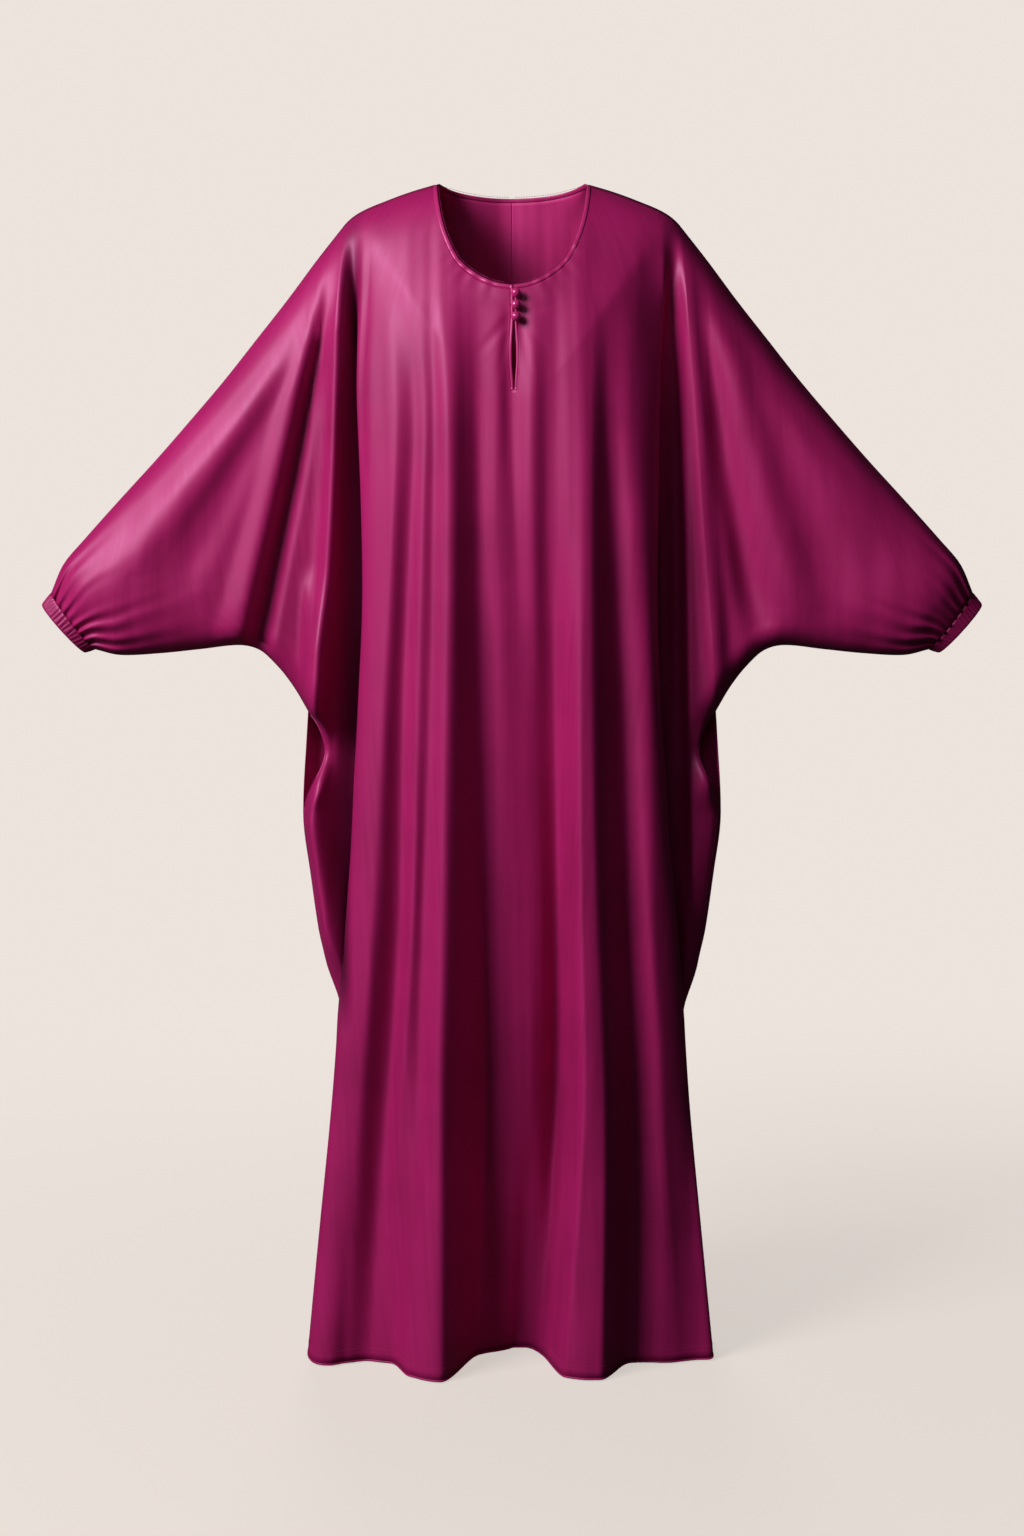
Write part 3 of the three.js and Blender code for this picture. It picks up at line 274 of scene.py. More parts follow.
def fold_height(fold, x, z):
    """One soft ridge or trough that follows its line and fades at both ends."""
    line_x, line_z, near_sides, far_sides, height = fold
    line = smooth_through(line_z, line_x)
    top, end = line_z[0], line_z[-1]
    share = np.clip((top - z) / (top - end), 0, 1)
    aside = (x - line(z)) * np.cos(np.arctan((line(z - 2) - line(z + 2)) / 4))
    near = mix(near_sides[0], near_sides[1], share)
    far = mix(far_sides[0], far_sides[1], share)
    fade = step(top + FOLD_FADE / 2, top - FOLD_FADE / 2, z)
    fade = fade * (1 - step(end + FOLD_FADE / 2, end - FOLD_FADE / 2, z))
    return mix(height[0], height[1], share) * lobe(aside, np.where(aside < 0, near, far)) * fade


def crease_height(creases, x, z):
    """A smooth line through the creases of one height, level at every crest and valley."""
    lines = np.array([smooth_through(CREASE_LEVELS_Z, line_x)(z) for line_x, _ in creases])
    stands = np.array([smooth_through(CREASE_LEVELS_Z, stand)(z) for _, stand in creases])
    spans = np.diff(lines, axis=0)
    rises = np.diff(stands, axis=0) / spans
    before, after = rises[:-1], rises[1:]
    onward = before * after > 0
    passing = np.where(onward, 2 * before * after / np.where(onward, before + after, 1), 0)
    slopes = np.concatenate([0 * rises[:1], passing, 0 * rises[:1]])
    height = stands[0] + 0 * x
    for i, (rise, span) in enumerate(zip(rises, spans)):
        t = np.clip((x - lines[i]) / span, 0, 1)
        bend = t * (1 - t) * ((1 - t) * slopes[i] - t * slopes[i + 1]) * span
        height = height + rise * span * t * t * (3 - 2 * t) + bend
    return height


def streak_height(x, z):
    """The faint uneven streaks that run down hanging satin."""
    sway = 1.6 * np.sin(z / 310 + 0.6) + 0.9 * np.sin(z / 140 + x / 90)
    fine = np.sin(x / 2.9 + sway) * (0.6 + 0.4 * np.sin(x / 23 + z / 260))
    broad = np.sin(x / 6.1 - 1.3 * sway + 2.0) * (0.6 + 0.4 * np.sin(x / 37 - z / 330))
    return STREAK_HEIGHT * (0.4 * fine + broad)


def pucker_height(x, z):
    """The puckers where the neck's edge is drawn in, and the creases that pull at the buttons."""
    ax = np.abs(x)
    around = np.arctan2(ax, PUCKER_CENTRE_Z - z)
    uneven = 0.6 + 0.4 * np.sin(5.3 * around + 2.0 * np.sign(x)) * np.sin(13 * around)
    wave = np.cos(2 * np.pi * (around + 0.02 * np.sin(9 * around + x / 60)) / PUCKER_SPACING)
    where = step(0.1, 0.3, around) * step(1.25, 0.95, around)
    away = distance_to(FRONT_NECKLINE, ax, z)
    height = PUCKER_HEIGHT * uneven * wave * where * np.exp(-((away / PUCKER_LENGTH) ** 1.5))
    for (x_a, z_a), (x_b, z_b), half_width, depth in PULLS:
        dx, dz = x_b - x_a, z_b - z_a
        share = np.clip(((x - x_a) * dx + (z - z_a) * dz) / (dx * dx + dz * dz), 0, 1)
        aside = np.hypot(x - x_a - share * dx, z - z_a - share * dz)
        height = height + depth * lobe(aside, half_width) * (1 - share)
    return height


def gather_height(from_top, from_underarm, from_cuff):
    """The gathers that run up the sleeve from its cuff."""
    across = from_top / (from_top + from_underarm + 1e-6)
    wave = -np.cos(2 * np.pi * GATHERS_PER_LAYER * across)
    uneven = 1 + 0.35 * np.sin(9.1 * across + 1) + 0.2 * np.sin(23 * across)
    near_seam = np.minimum(1, np.minimum(from_top, from_underarm) / LEAST_DEPTH)
    return GATHER_HEIGHT * uneven * wave * np.exp(-from_cuff / (GATHER_LENGTH * uneven)) * near_seam


def layer(body_rows, sleeve_rows, ridge, side_line, creases, folds, forward):
    """The depth of the front or the back over the plan, from the plane of the shoulder seams."""
    body_depth = smooth_through(BODY_DROP, body_rows)
    sleeve_depth = smooth_through(SLEEVE_DROP, sleeve_rows)
    puff_depth = smooth_through(PUFF_AWAY, PUFF_HALF_DEPTH)
    top_line = line_of(curve_through(ridge), 8) + line_of(top_curve, 60)

    def depth(x, z):
        ax = np.abs(x)
        from_top = distance_to(top_line, np.hypot(x, CENTRE_ROUNDING * step(90, 20, ax)), z)
        from_underarm = np.minimum(distance_to(underarm_line, ax, z), distance_to(side_line, ax, z))
        from_cuff = distance_to(SLEEVE_END, ax, z)
        aside = np.minimum(ax / (turn_start(x, z) + TURN_WIDTH), 1)
        squareness = mix(SQUARE_AT_CHEST, SQUARE_AT_HEM, step(OPENING_MIDDLE_Z, HEM_Z, z))
        body = body_depth(from_top) * np.sqrt(1 - aside**squareness)
        corner = np.minimum(from_underarm / CORNER_ROUNDING, 1)
        body = body * np.sqrt(1 - (1 - corner) ** 2)
        edge = np.minimum(from_underarm / SEAM_ROUNDING, 1)
        hanging = sleeve_depth(from_top) * np.sqrt(1 - (1 - edge) ** 2)
        around = 2 * np.sqrt(from_top * from_underarm) / (from_top + from_underarm + 1e-6)
        sleeve = mix(puff_depth(from_cuff) * around, hanging, step(PUFF_START, PUFF_END, from_cuff))
        form = (body**MEETING_SHARPNESS + sleeve**MEETING_SHARPNESS) ** (1 / MEETING_SHARPNESS)
        fold = crease_height(creases, x, z) + sum(fold_height(one, x, z) for one in folds)
        fold = fold + streak_height(x, z)
        near_top = np.minimum(1, from_top / FOLDS_BELOW_TOP)
        near_seam = np.minimum(1, from_underarm / FOLDS_FROM_SEAM)
        gathers = gather_height(from_top, from_underarm, from_cuff)
        near_opening = step(-TURN_WIDTH, TURN_WIDTH, ax - opening_x(OPENING_MIDDLE_Z))
        opening = forward * lobe(z - OPENING_MIDDLE_Z, OPENING_HALF_HEIGHT) * near_opening
        full = form + fold * near_top * near_seam + gathers + opening
        if forward:
            full = full + pucker_height(x, z)
        return np.maximum(full, np.minimum(LEAST_DEPTH, form))

    return depth


front_depth = layer(
    FRONT_BODY_DEPTH, FRONT_SLEEVE_DEPTH, RIDGE_OVER_FRONT_NECK, front_side_line, FRONT_CREASES,
    FRONT_FOLDS, OPENING_FORWARD,
)


def on_cloth(depth, facing, x, z):
    """The outer face of a layer at points of the plan: facing is -1 in front and 1 behind."""
    out = np.abs(x) - turn_start(x, z)
    roll = TURN_ROLL * lobe(out, TURN_ROLL_REACH)
    tuck = TURN_TUCK * lobe(out - TURN_WIDTH, TURN_TUCK_REACH)
    moved = x + np.sign(x) * (roll - tuck) * step(TURN_STARTS_Z, TURN_FULL_Z, z)
    return np.stack([moved, facing * depth(x, z), z], -1)


# How far each row of the plan follows the neckline and shoulder above it
SETTLED_Z = [-47, -75, -110, -150, -195, -250, -310, -370]
follows_top = smooth_through([*SETTLED_Z, -440], [1, 0.93, 0.84, 0.72, 0.585, 0.42, 0.25, 0.1, 0])
SLIT_ROW_Z = -195.0
NECK_TUCKED_IN = 4.0
ROW_STOPS = [(-47, 0), (SLIT_ROW_Z, 32), (-632, 66), (OPENING_END_Z, 22), (HEM_Z, 60)]
NECK_COLUMNS, SHOULDER_COLUMNS, TURN_COLUMNS = 56, 20, 22
SLEEVE_COLUMNS = 54


def plan_rows():
    rows = [ROW_STOPS[0][0]]
    for (start, _), (stop, count) in zip(ROW_STOPS[:-1], ROW_STOPS[1:]):
        rows += list(np.linspace(start, stop, count + 1)[1:])
    return np.array(rows, float)


def neck_edge(neckline, share, inset):
    """The cut edge at the neck, a share of the way from the neck point to the centre."""
    curve = curve_through(neckline)
    before, after = curve(np.maximum(share - 0.01, 0)), curve(np.minimum(share + 0.01, 1))
    turned = step(0, 0.4, share)
    across_x = mix(-1, after[1] - before[1], turned)
    across_z = mix(0, before[0] - after[0], turned)
    length = np.hypot(across_x, across_z)
    x, z = curve(share)
    return x - across_x / length * inset, z - across_z / length * inset


def body_plan(hand, neckline, rows, lower_edge, centre_x):
    """Plan points of half a body, rows by columns, from the centre out to the side seam."""
    neck_share = 1 - np.linspace(0, 1, NECK_COLUMNS + 1)
    neck_x, neck_z = neck_edge(neckline, neck_share, NECK_TUCKED_IN)
    neck_z[-1] = shoulder_line(neck_x[-1])
    start = turn_start(hand, SHOULDER_POINT[1])
    shoulder_x = np.linspace(neck_x[-1], start, SHOULDER_COLUMNS + 1)[1:]
    top_x = np.concatenate([neck_x, shoulder_x])
    top_z = np.concatenate([neck_z, shoulder_line(shoulder_x)])
    even = np.linspace(0, 1, len(top_x))
    row = rows[:, None]
    z = row + (top_z - SHOULDER_POINT[1])[None, :] * follows_top(row)
    settle = step(0, 7, np.interp(-row, [-s for s in SETTLED_Z], range(8)))
    outwards = np.clip((top_x - neck_x[-1]) / (start - neck_x[-1]), 0, 1)
    top_x = top_x + (turn_start(hand, z) - start) * outwards
    x = mix(top_x, mix(centre_x(z), turn_start(hand, z), even), settle)
    x[:, 0] = centre_x(z[:, 0])

    share = (1 - np.cos(np.linspace(0, np.pi, TURN_COLUMNS + 1)[1:])) / 2
    share = mix(share, np.linspace(0, 1, TURN_COLUMNS + 1)[1:], 0.5)
    edge_z = row + (shoulder_line(mix(start, SHOULDER_POINT[0], share)) - SHOULDER_POINT[1]) * (
        follows_top(row)
    )
    down = (SHOULDER_POINT[1] - edge_z) / (SHOULDER_POINT[1] - UNDERARM_POINT[1])
    edge = np.where(
        edge_z < UNDERARM_POINT[1],
        lower_edge(edge_z),
        mix(SHOULDER_POINT[0], UNDERARM_POINT[0], np.maximum(down, 0)),
    )
    edge_x = mix(turn_start(hand, edge_z), edge, share)
    x, z = np.hstack([x, edge_x]), np.hstack([z, edge_z])
    return x * hand, z + hem_corner(x) * step(HEM_Z + HEM_CORNER_REACH, HEM_Z, z)


def sleeve_plan(hand, rows):
    """Plan points of a sleeve, rows from the top seam to the underarm, columns out to the cuff."""
    down = (SHOULDER_POINT[1] - rows) / (SHOULDER_POINT[1] - UNDERARM_POINT[1])
    share = np.linspace(0, 1, SLEEVE_COLUMNS + 1)[1:] ** 0.85
    even = np.linspace(0, 1, len(rows))
    bunched = 0.5 - 0.5 * np.cos(np.pi * even)
    across = mix(down[:, None], mix(even, bunched, 0.6)[:, None], step(0, 0.25, share)[None, :])
    top_x, top_z = sleeve_top_curve(share)
    low_x, low_z = underarm_curve(1 - share)
    return hand * mix(top_x, low_x, across), mix(top_z, low_z, across)


def faces_of(index, flipped):
    a, b, c, d = index[:-1, :-1], index[:-1, 1:], index[1:, 1:], index[1:, :-1]
    quads = np.stack([a, b, c, d], -1).reshape(-1, 4)
    return quads[:, ::-1] if flipped else quads


def mesh_object(name, points, faces, weave, materials, smooth=True):
    """A piece from points in millimetres, with a map of its weave. Its flat caps stay flat."""
    mesh = bpy.data.meshes.new(name)
    mesh.from_pydata((points * MM).tolist(), [], faces)
    uv = mesh.uv_layers.new(name="weave")
    corners = np.zeros(len(mesh.loops), np.int32)
    mesh.loops.foreach_get("vertex_index", corners)
    uv.data.foreach_set("uv", (weave[corners] * MM).astype(np.float32).ravel())
    for polygon in mesh.polygons:
        polygon.use_smooth = smooth and len(polygon.vertices) == 4
    for material in materials:
        mesh.materials.append(material)
    obj = bpy.data.objects.new(name, mesh)
    bpy.context.scene.collection.objects.link(obj)
    return obj


def select_only(obj):
    bpy.ops.object.select_all(action="DESELECT")
    bpy.context.view_layer.objects.active = obj
    obj.select_set(True)


def cloth_object(name, points, faces, weave, painted_shade, materials):
    """A sheet of cloth with its thickness, and the painted shade that each point gets in the
    deepest fold.
    """
    obj = mesh_object(name, points, faces.tolist(), weave, materials)
    # The painted shade of the deepest fold is kept on the mesh, for the satin to darken its colour
    # there.
    shade = obj.data.attributes.new("painted_shade", "FLOAT", "POINT")
    shade.data.foreach_set("value", painted_shade.astype(np.float32))
    solid = obj.modifiers.new("thickness", "SOLIDIFY")
    solid.thickness = CLOTH * MM
    solid.offset = -1.0
    solid.material_offset = len(materials) - 1
    select_only(obj)
    bpy.ops.object.modifier_apply(modifier=solid.name)
    return obj


def weave_of(points):
    """Distances across and along the cloth at each point of a grid, in millimetres."""
    across = np.linalg.norm(np.diff(points, axis=1), axis=-1)
    along = np.linalg.norm(np.diff(points, axis=0), axis=-1)
    u = np.pad(np.cumsum(across, axis=1), ((0, 0), (1, 0))) + np.abs(points[:, :1, 0])
    v = np.pad(np.cumsum(along, axis=0), ((1, 0), (0, 0)))
    return np.stack([u, -v], -1)


def painted_shade_in_fold(facing, x, z):
    """How much painted shade a point gets in the narrow fold beside the body, by how deep it lies
    in that fold. The back gets none.
    """
    if facing > 0:
        return 0 * x
    line_x, line_z, near_sides, far_sides, _ = DEEPEST_FOLD
    heights = (PAINTED_SHADE_AT_TOP, PAINTED_SHADE_AT_END)
    return fold_height((line_x, line_z, near_sides, far_sides, heights), x, z) ** PAINTED_SHADE_SPREAD


def half_layer(hand, facing, depth, neckline, lower_edge, centre_x):
    """One half of a layer with its sleeve: points, weave, faces, painted shade and the grid of the
    body.

    Where it is sewn to the other layer, its edge lies in the plane between them."""
    rows = plan_rows()
    above = int(np.argmin(np.abs(rows - UNDERARM_POINT[1]))) + 1
    plans = body_plan(hand, neckline, rows, lower_edge, centre_x), sleeve_plan(hand, rows[:above])
    body, sleeve = (on_cloth(depth, facing, x, z) for x, z in plans)
    body[0, NECK_COLUMNS + 1:, 1] = 0
    body[rows <= OPENING_END_Z + 1, -1, 1] = 0
    sleeve[0, :, 1] = 0
    sleeve[-1, :, 1] = 0
    wide = weave_of(np.concatenate([body[:above], sleeve], axis=1))
    body_weave = weave_of(body)
    count = body.shape[0] * body.shape[1]
    body_index = np.arange(count).reshape(body.shape[:2])
    sleeve_index = count + np.arange(sleeve.shape[0] * sleeve.shape[1]).reshape(sleeve.shape[:2])
    joined = np.hstack([body_index[:above, -1:], sleeve_index])
    flipped = hand * facing < 0
    faces = np.vstack([faces_of(body_index, flipped), faces_of(joined, flipped)])
    points = np.concatenate([body.reshape(-1, 3), sleeve.reshape(-1, 3)])
    weave = np.concatenate([body_weave.reshape(-1, 2), wide[:, body.shape[1]:].reshape(-1, 2)])
    painted_shade = np.concatenate([painted_shade_in_fold(facing, x, z).ravel() for x, z in plans])
    return points, weave * [hand, 1], faces, painted_shade, body_index


def new_material(name):
    material = bpy.data.materials.new(name)
    material.use_nodes = True
    return material, material.node_tree


def set_inputs(node, inputs):
    """Each input gets its plain value, or a link where the value is another node's output."""
    for name, value in inputs.items():
        if isinstance(value, bpy.types.NodeSocket):
            node.id_data.links.new(value, node.inputs[name])
        else:
            node.inputs[name].default_value = value


def add_node(tree, kind, inputs, **settings):
    node = tree.nodes.new(kind)
    for name, value in settings.items():
        setattr(node, name, value)
    set_inputs(node, inputs)
    return node


def noise(tree, place, scale, detail):
    """A noise over the map of the weave, "UV", or over the piece itself, "Object"."""
    where = tree.nodes.new("ShaderNodeTexCoord").outputs[place]
    stretch = add_node(tree, "ShaderNodeMapping", {"Vector": where, "Scale": scale})
    look = {"Vector": stretch.outputs["Vector"], "Scale": 1.0, "Detail": detail}
    return add_node(tree, "ShaderNodeTexNoise", look).outputs["Fac"]


def add_share(tree, value, share, to):
    inputs = {0: value, 1: share, 2: to}
    return add_node(tree, "ShaderNodeMath", inputs, operation="MULTIPLY_ADD").outputs[0]


def between(tree, value, low, high):
    inputs = {"Value": value, "To Min": low, "To Max": high}
    return add_node(tree, "ShaderNodeMapRange", inputs).outputs["Result"]


def colour_ramp(tree, value, low, dark, light):
    ramp = add_node(tree, "ShaderNodeValToRGB", {"Fac": value})
    ramp.color_ramp.elements[0].position = low
    ramp.color_ramp.elements[0].color = (*dark, 1.0)
    ramp.color_ramp.elements[1].color = (*light, 1.0)
    return ramp.outputs["Color"]


def satin(name, light, dark, roughness, scale=1.0):
    """Heavy satin: soft sheen, thread streaks along the cloth and a slight unevenness of colour.

    A float held in the mesh paints shade into the deepest fold, mixing the colour towards
    near-black."""
    material, tree = new_material(name)
    threads = noise(tree, "UV", (1500.0 * scale, 240.0 * scale, 1.0), 2.0)
    slubs = noise(tree, "UV", (150.0 * scale, 5.0 * scale, 1.0), 4.0)
    patches = noise(tree, "Object", (9.0, 9.0, 9.0), 3.0)
    streaks = add_share(tree, threads, 0.3, add_share(tree, slubs, 0.5, patches))
    colour = colour_ramp(tree, streaks, 0.62, dark, light)
    # Painted shade: the colour is mixed towards near-black by the painted shade held in the mesh,
    # in the deepest front fold.
    painted_shade = add_node(tree, "ShaderNodeAttribute", {}, attribute_name="painted_shade").outputs["Fac"]
    inputs = {"Factor": painted_shade, "A": colour, "B": (0.06, 0.001, 0.02, 1.0)}
    painted_shade_mix = add_node(tree, "ShaderNodeMix", inputs, data_type="RGBA")
    inputs = {"Height": threads, "Strength": 0.12, "Distance": 0.0002}
    bump = add_node(tree, "ShaderNodeBump", inputs)
    set_inputs(tree.nodes["Principled BSDF"], {
        "Base Color": painted_shade_mix.outputs["Result"],
        "Roughness": between(tree, slubs, roughness - 0.05, roughness + 0.06),
        "Normal": bump.outputs["Normal"],
        "Specular IOR Level": 0.8,
        "Specular Tint": (1.0, 0.5, 0.85, 1.0),
    })
    return material


satin_face = satin("satin_face", (0.45, 0.011, 0.140), (0.36, 0.008, 0.110), 0.49)
# The reverse of the satin is duller than its face and a little paler. It is made paler still as
# painted light, in place of the light that reaches the inside of the back through the neck.
satin_back = satin("satin_back", (0.66, 0.026, 0.22), (0.56, 0.02, 0.18), 0.62)

# The slit below the neck is held shut by the buttons, widest at its middle, drawn in at its end
SLIT_X = 2.3
SLIT_TOP_Z, SLIT_BOTTOM_Z = -125.0, -240.0
SLIT_GAP_TOP, SLIT_GAP_MIDDLE, SLIT_CLOSES_BY = 1.6, 5.0, 3.6
SLIT_BINDING_WIDTH, BINDING_OVER_EDGE = 3.0, 0.7


def slit_half_width(z):
    share = np.clip((SLIT_TOP_Z - z) / (SLIT_TOP_Z - SLIT_BOTTOM_Z), 0, 1)
    gap = mix(SLIT_GAP_TOP, SLIT_GAP_MIDDLE, step(0.25, 0.6, share))
    gap = gap - SLIT_CLOSES_BY * step(0.7, 1, share)
    return gap / 2 + SLIT_BINDING_WIDTH * BINDING_OVER_EDGE


def front_lower_edge(z):
    return np.where(z > OPENING_END_Z, opening_x(z), side_x(z))


def front_panel():
    """Both halves of the front, and the strip that joins them below the slit."""
    slit_row = int(np.argmin(np.abs(plan_rows() - SLIT_ROW_Z)))
    halves = [
        half_layer(
            hand, -1, front_depth, FRONT_NECKLINE, front_lower_edge,
            lambda z, hand=hand: slit_half_width(z) + hand * SLIT_X,
        )
        for hand in (RIGHT, LEFT)
    ]
    points, weave, _, painted_shade, _ = (np.concatenate(part) for part in zip(*halves))
    offset = len(halves[0][0])
    near, far = halves[0][4][slit_row:, 0], halves[1][4][slit_row:, 0] + offset
    columns = [near]
    for share in (0.25, 0.5, 0.75):
        x = mix(points[near, 0], points[far, 0], share)
        bridge = on_cloth(front_depth, -1, x, points[near, 2])
        columns.append(len(points) + np.arange(len(bridge)))
        points = np.concatenate([points, bridge])
        weave = np.concatenate([weave, mix(weave[near], weave[far], share)])
        painted_shade = np.concatenate([painted_shade, 0 * x])
    strip = faces_of(np.stack([*columns, far], axis=1), True)
    faces = np.vstack([halves[0][2], halves[1][2] + offset, strip])
    return cloth_object(
        "front_panel_satin", points, faces, weave, painted_shade, [satin_face, satin_back]
    )


front = front_panel()
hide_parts("front_panel")
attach(front, "root")

# The back is two halves with a seam down the middle, each with its own sleeve back.
# They hang from the same shoulder seams, and are sewn to the front at the sides and underarms.
RIDGE_OVER_BACK_NECK = [(0, 72), (50, 44), (89, 0)]
BACK_BODY_DEPTH = [0, 23, 42, 60, 75, 86, 88, 82, 88, 100, 116]
BACK_SLEEVE_DEPTH = [0, 20, 34, 44, 42, 36, 30, 25, 20, 18]
BACK_NECKLINE = [(89.3, 0), (78, -4), (55, -9.5), (28, -13), (0, -14)]
BACK_CREASES = [
    ((-170, -170, -176, -187, -204, -220, -242), (0, 0, 0, 0, 0, 0, 0)),
    ((-142, -140, -144, -152, -164, -178, -196), (1, 2, 2, 0, -6, -14, -22)),
    ((-112, -112, -116, -124, -134, -146, -160), (-3, -6, -9, -18, -30, -42, -54)),
    ((-84, -82, -82, -86, -92, -98, -106), (2, 4, 5, 4, 2, 0, -2)),
    ((-46, -46, -48, -52, -56, -60, -64), (-4, -8, -12, -22, -36, -48, -60)),
    ((-14, -12, -12, -14, -16, -18, -20), (1, 2, 2, 1, 0, -2, -4)),
    ((18, 20, 24, 28, 30, 28, 24), (-3, -6, -10, -22, -38, -54, -68)),
    ((44, 46, 48, 50, 50, 48, 44), (-2, -4, -7, -18, -34, -50, -62)),
    ((76, 76, 78, 80, 82, 84, 86), (2, 4, 6, 5, 3, 0, -3)),
    ((110, 108, 112, 118, 124, 132, 140), (-3, -7, -11, -20, -32, -44, -54)),
    ((146, 144, 150, 160, 172, 186, 200), (1, 1, 1, -2, -8, -16, -26)),
    ((176, 176, 178, 188, 204, 222, 246), (0, 0, 0, 0, 0, 0, 0)),
]
BACK_FOLDS = [
    ((-190, -197, -210), (-60, -480, -985), (14, 24), (12, 16), (-8, -18)),
    ((-198, -216, -238), (-80, -360, -620), (16, 26), (12, 20), (4, 12)),
    ((-210, -262, -300), (-90, -330, -540), (14, 30), (12, 26), (-4, -14)),
    ((-240, -320, -410), (-140, -330, -490), (18, 44), (16, 36), (3, 11)),
    ((192, 202, 212), (-60, -400, -985), (12, 16), (14, 24), (-8, -18)),
    ((202, 232, 252), (-80, -330, -600), (12, 20), (14, 24), (4, 12)),
    ((224, 286, 330), (-110, -320, -520), (14, 26), (14, 34), (-4, -13)),
    ((250, 332, 410), (-150, -330, -490), (16, 34), (16, 44), (3, 10)),
]
back_depth = layer(
    BACK_BODY_DEPTH, BACK_SLEEVE_DEPTH, RIDGE_OVER_BACK_NECK, back_side_line, BACK_CREASES,
    BACK_FOLDS, 0.0,
)

for hand, node in ((LEFT, "back_left"), (RIGHT, "back_right")):
    points, weave, faces, painted_shade, _ = half_layer(
        hand, 1, back_depth, BACK_NECKLINE, side_x, lambda z: 0 * z
    )
    back = cloth_object(f"{node}_satin", points, faces, weave, painted_shade, [satin_face, satin_back])
    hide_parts(node)
    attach(back, "root")

# The neck is finished with a narrow strip of the same satin, cut on the bias and wrapped over
# the raw edge all round, from one side of the slit to the other.
BINDING_WIDTH = 5.0
BINDING_THICKNESS = 2.6
BINDING_CLEAR_OF_SEAM = 2.2
INWARD_REACH = 1.2
satin_binding = satin("satin_binding", (0.56, 0.03, 0.19), (0.46, 0.02, 0.15), 0.36, 1.3)


def outward_normal(depth, facing, x, z):
    reach = 1.5
    across = on_cloth(depth, facing, x + reach, z) - on_cloth(depth, facing, x - reach, z)
    up = on_cloth(depth, facing, x, z + reach) - on_cloth(depth, facing, x, z - reach)
    return unit(np.cross(up, across) * facing)


def unit(vectors):
    return vectors / np.linalg.norm(vectors, axis=-1, keepdims=True)


def square_to(axis, vectors):
    """Unit vectors at right angles to the axis, as near to the given ones as may be."""
    return unit(vectors - axis * np.sum(vectors * axis, axis=1, keepdims=True))


def soft_strip(name, points, across, out, width, thickness, material, sides=14):
    """A folded strip of cloth: a soft oblong section carried along a line of points."""
    angle = np.linspace(0, 2 * np.pi, sides, endpoint=False)
    a = np.sign(np.cos(angle)) * np.abs(np.cos(angle)) ** 0.6 * width / 2
    b = np.sign(np.sin(angle)) * np.abs(np.sin(angle)) ** 0.8 * thickness / 2
    ring = points[:, None] + across[:, None] * a[:, None] + out[:, None] * b[:, None]
    count = len(points)
    index = np.arange(count * sides).reshape(count, sides)
    index = np.hstack([index, index[:, :1]])
    along = lengths_along(points)[:, None]
    weave = np.stack(np.broadcast_arrays(angle[None, :] * width / 3, along), -1)
    first = np.cross(across[0], out[0]) @ (points[1] - points[0]) > 0
    faces = faces_of(index, first)
    caps = [index[0, :-1].tolist(), index[-1, :-1][::-1].tolist()]
    if first:
        caps = [cap[::-1] for cap in caps]
    points, faces = ring.reshape(-1, 3), faces.tolist() + caps
    return mesh_object(name, points, faces, weave.reshape(-1, 2), [material])


def neck_half(hand, facing, depth, neckline, count):
    """Middle line, across and out directions of the binding beside half of one neckline."""
    share = np.linspace(1, 0, count)
    x, z = neck_edge(neckline, share, BINDING_WIDTH / 2)
    inner_x, inner_z = neck_edge(neckline, share, BINDING_WIDTH / 2 - INWARD_REACH)
    edge = on_cloth(depth, facing, hand * x, z)
    inner = on_cloth(depth, facing, hand * inner_x, inner_z)
    tangent = unit(np.gradient(edge, axis=0))
    across = square_to(tangent, inner - edge)
    out = square_to(tangent, outward_normal(depth, facing, hand * x, z))
    out = square_to(across, out)
    middle = edge - out * CLOTH / 2
    clear = np.abs(middle[:, 1]) > BINDING_CLEAR_OF_SEAM
    return middle[clear], across[clear], out[clear]


def neck_binding():
    lines = []
    for hand in (LEFT, RIGHT):
        front_line = neck_half(hand, -1, front_depth, FRONT_NECKLINE, 70)
        back_line = neck_half(hand, 1, back_depth, BACK_NECKLINE, 44)
        half = [np.concatenate([a, b[::-1]]) for a, b in zip(front_line, back_line)]
        lines.append(half if hand == LEFT else [value[::-1] for value in half])
    points, across, out = (np.concatenate([a, b[1:]]) for a, b in zip(*lines))
    return soft_strip(
        "neck_binding_satin", points, across, out, BINDING_WIDTH, BINDING_THICKNESS, satin_binding
    )


binding = neck_binding()
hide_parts("neck_binding")
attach(binding, "root")

# The slit's edges are bound with the same strip, folded narrower and pressed flat. Its two ends
# are caught under the neck binding at the top and sewn together at the foot of the slit.
SLIT_BINDING_THICKNESS = 2.2


def binding_middle(hand, z):
    half_gap = slit_half_width(z) - SLIT_BINDING_WIDTH * BINDING_OVER_EDGE
    return SLIT_X + hand * (half_gap + SLIT_BINDING_WIDTH / 2)


for hand, node in ((LEFT, "slit_binding_left"), (RIGHT, "slit_binding_right")):
    z = np.linspace(FRONT_NECKLINE[-1][1] - 2, SLIT_BOTTOM_Z - 1, 50)
    x = binding_middle(hand, z)
    middle = on_cloth(front_depth, -1, x, z)
    out = outward_normal(front_depth, -1, x, z)
    across = square_to(out, np.tile([-hand, 0.0, 0.0], (len(z), 1)))
    strip = soft_strip(
        f"{node}_satin", middle - out * CLOTH / 2, across, out, SLIT_BINDING_WIDTH,
        SLIT_BINDING_THICKNESS, satin_binding,
    )
    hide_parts(node)
    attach(strip, "root")

# Three ball buttons of polished plastic, moulded in the satin's colour, close the slit. Each
# stands on a short shank, which is sewn to the binding on the wearer's left edge.
BUTTON_RADIUS = 5.8
SHANK_RADIUS, SHANK_LENGTH, SHANK_SUNK = 1.5, 2.4, 1.2
SHANK_CAP = 0.955
BUTTON_HEIGHTS = (-130.0, -143.5, -157.0)


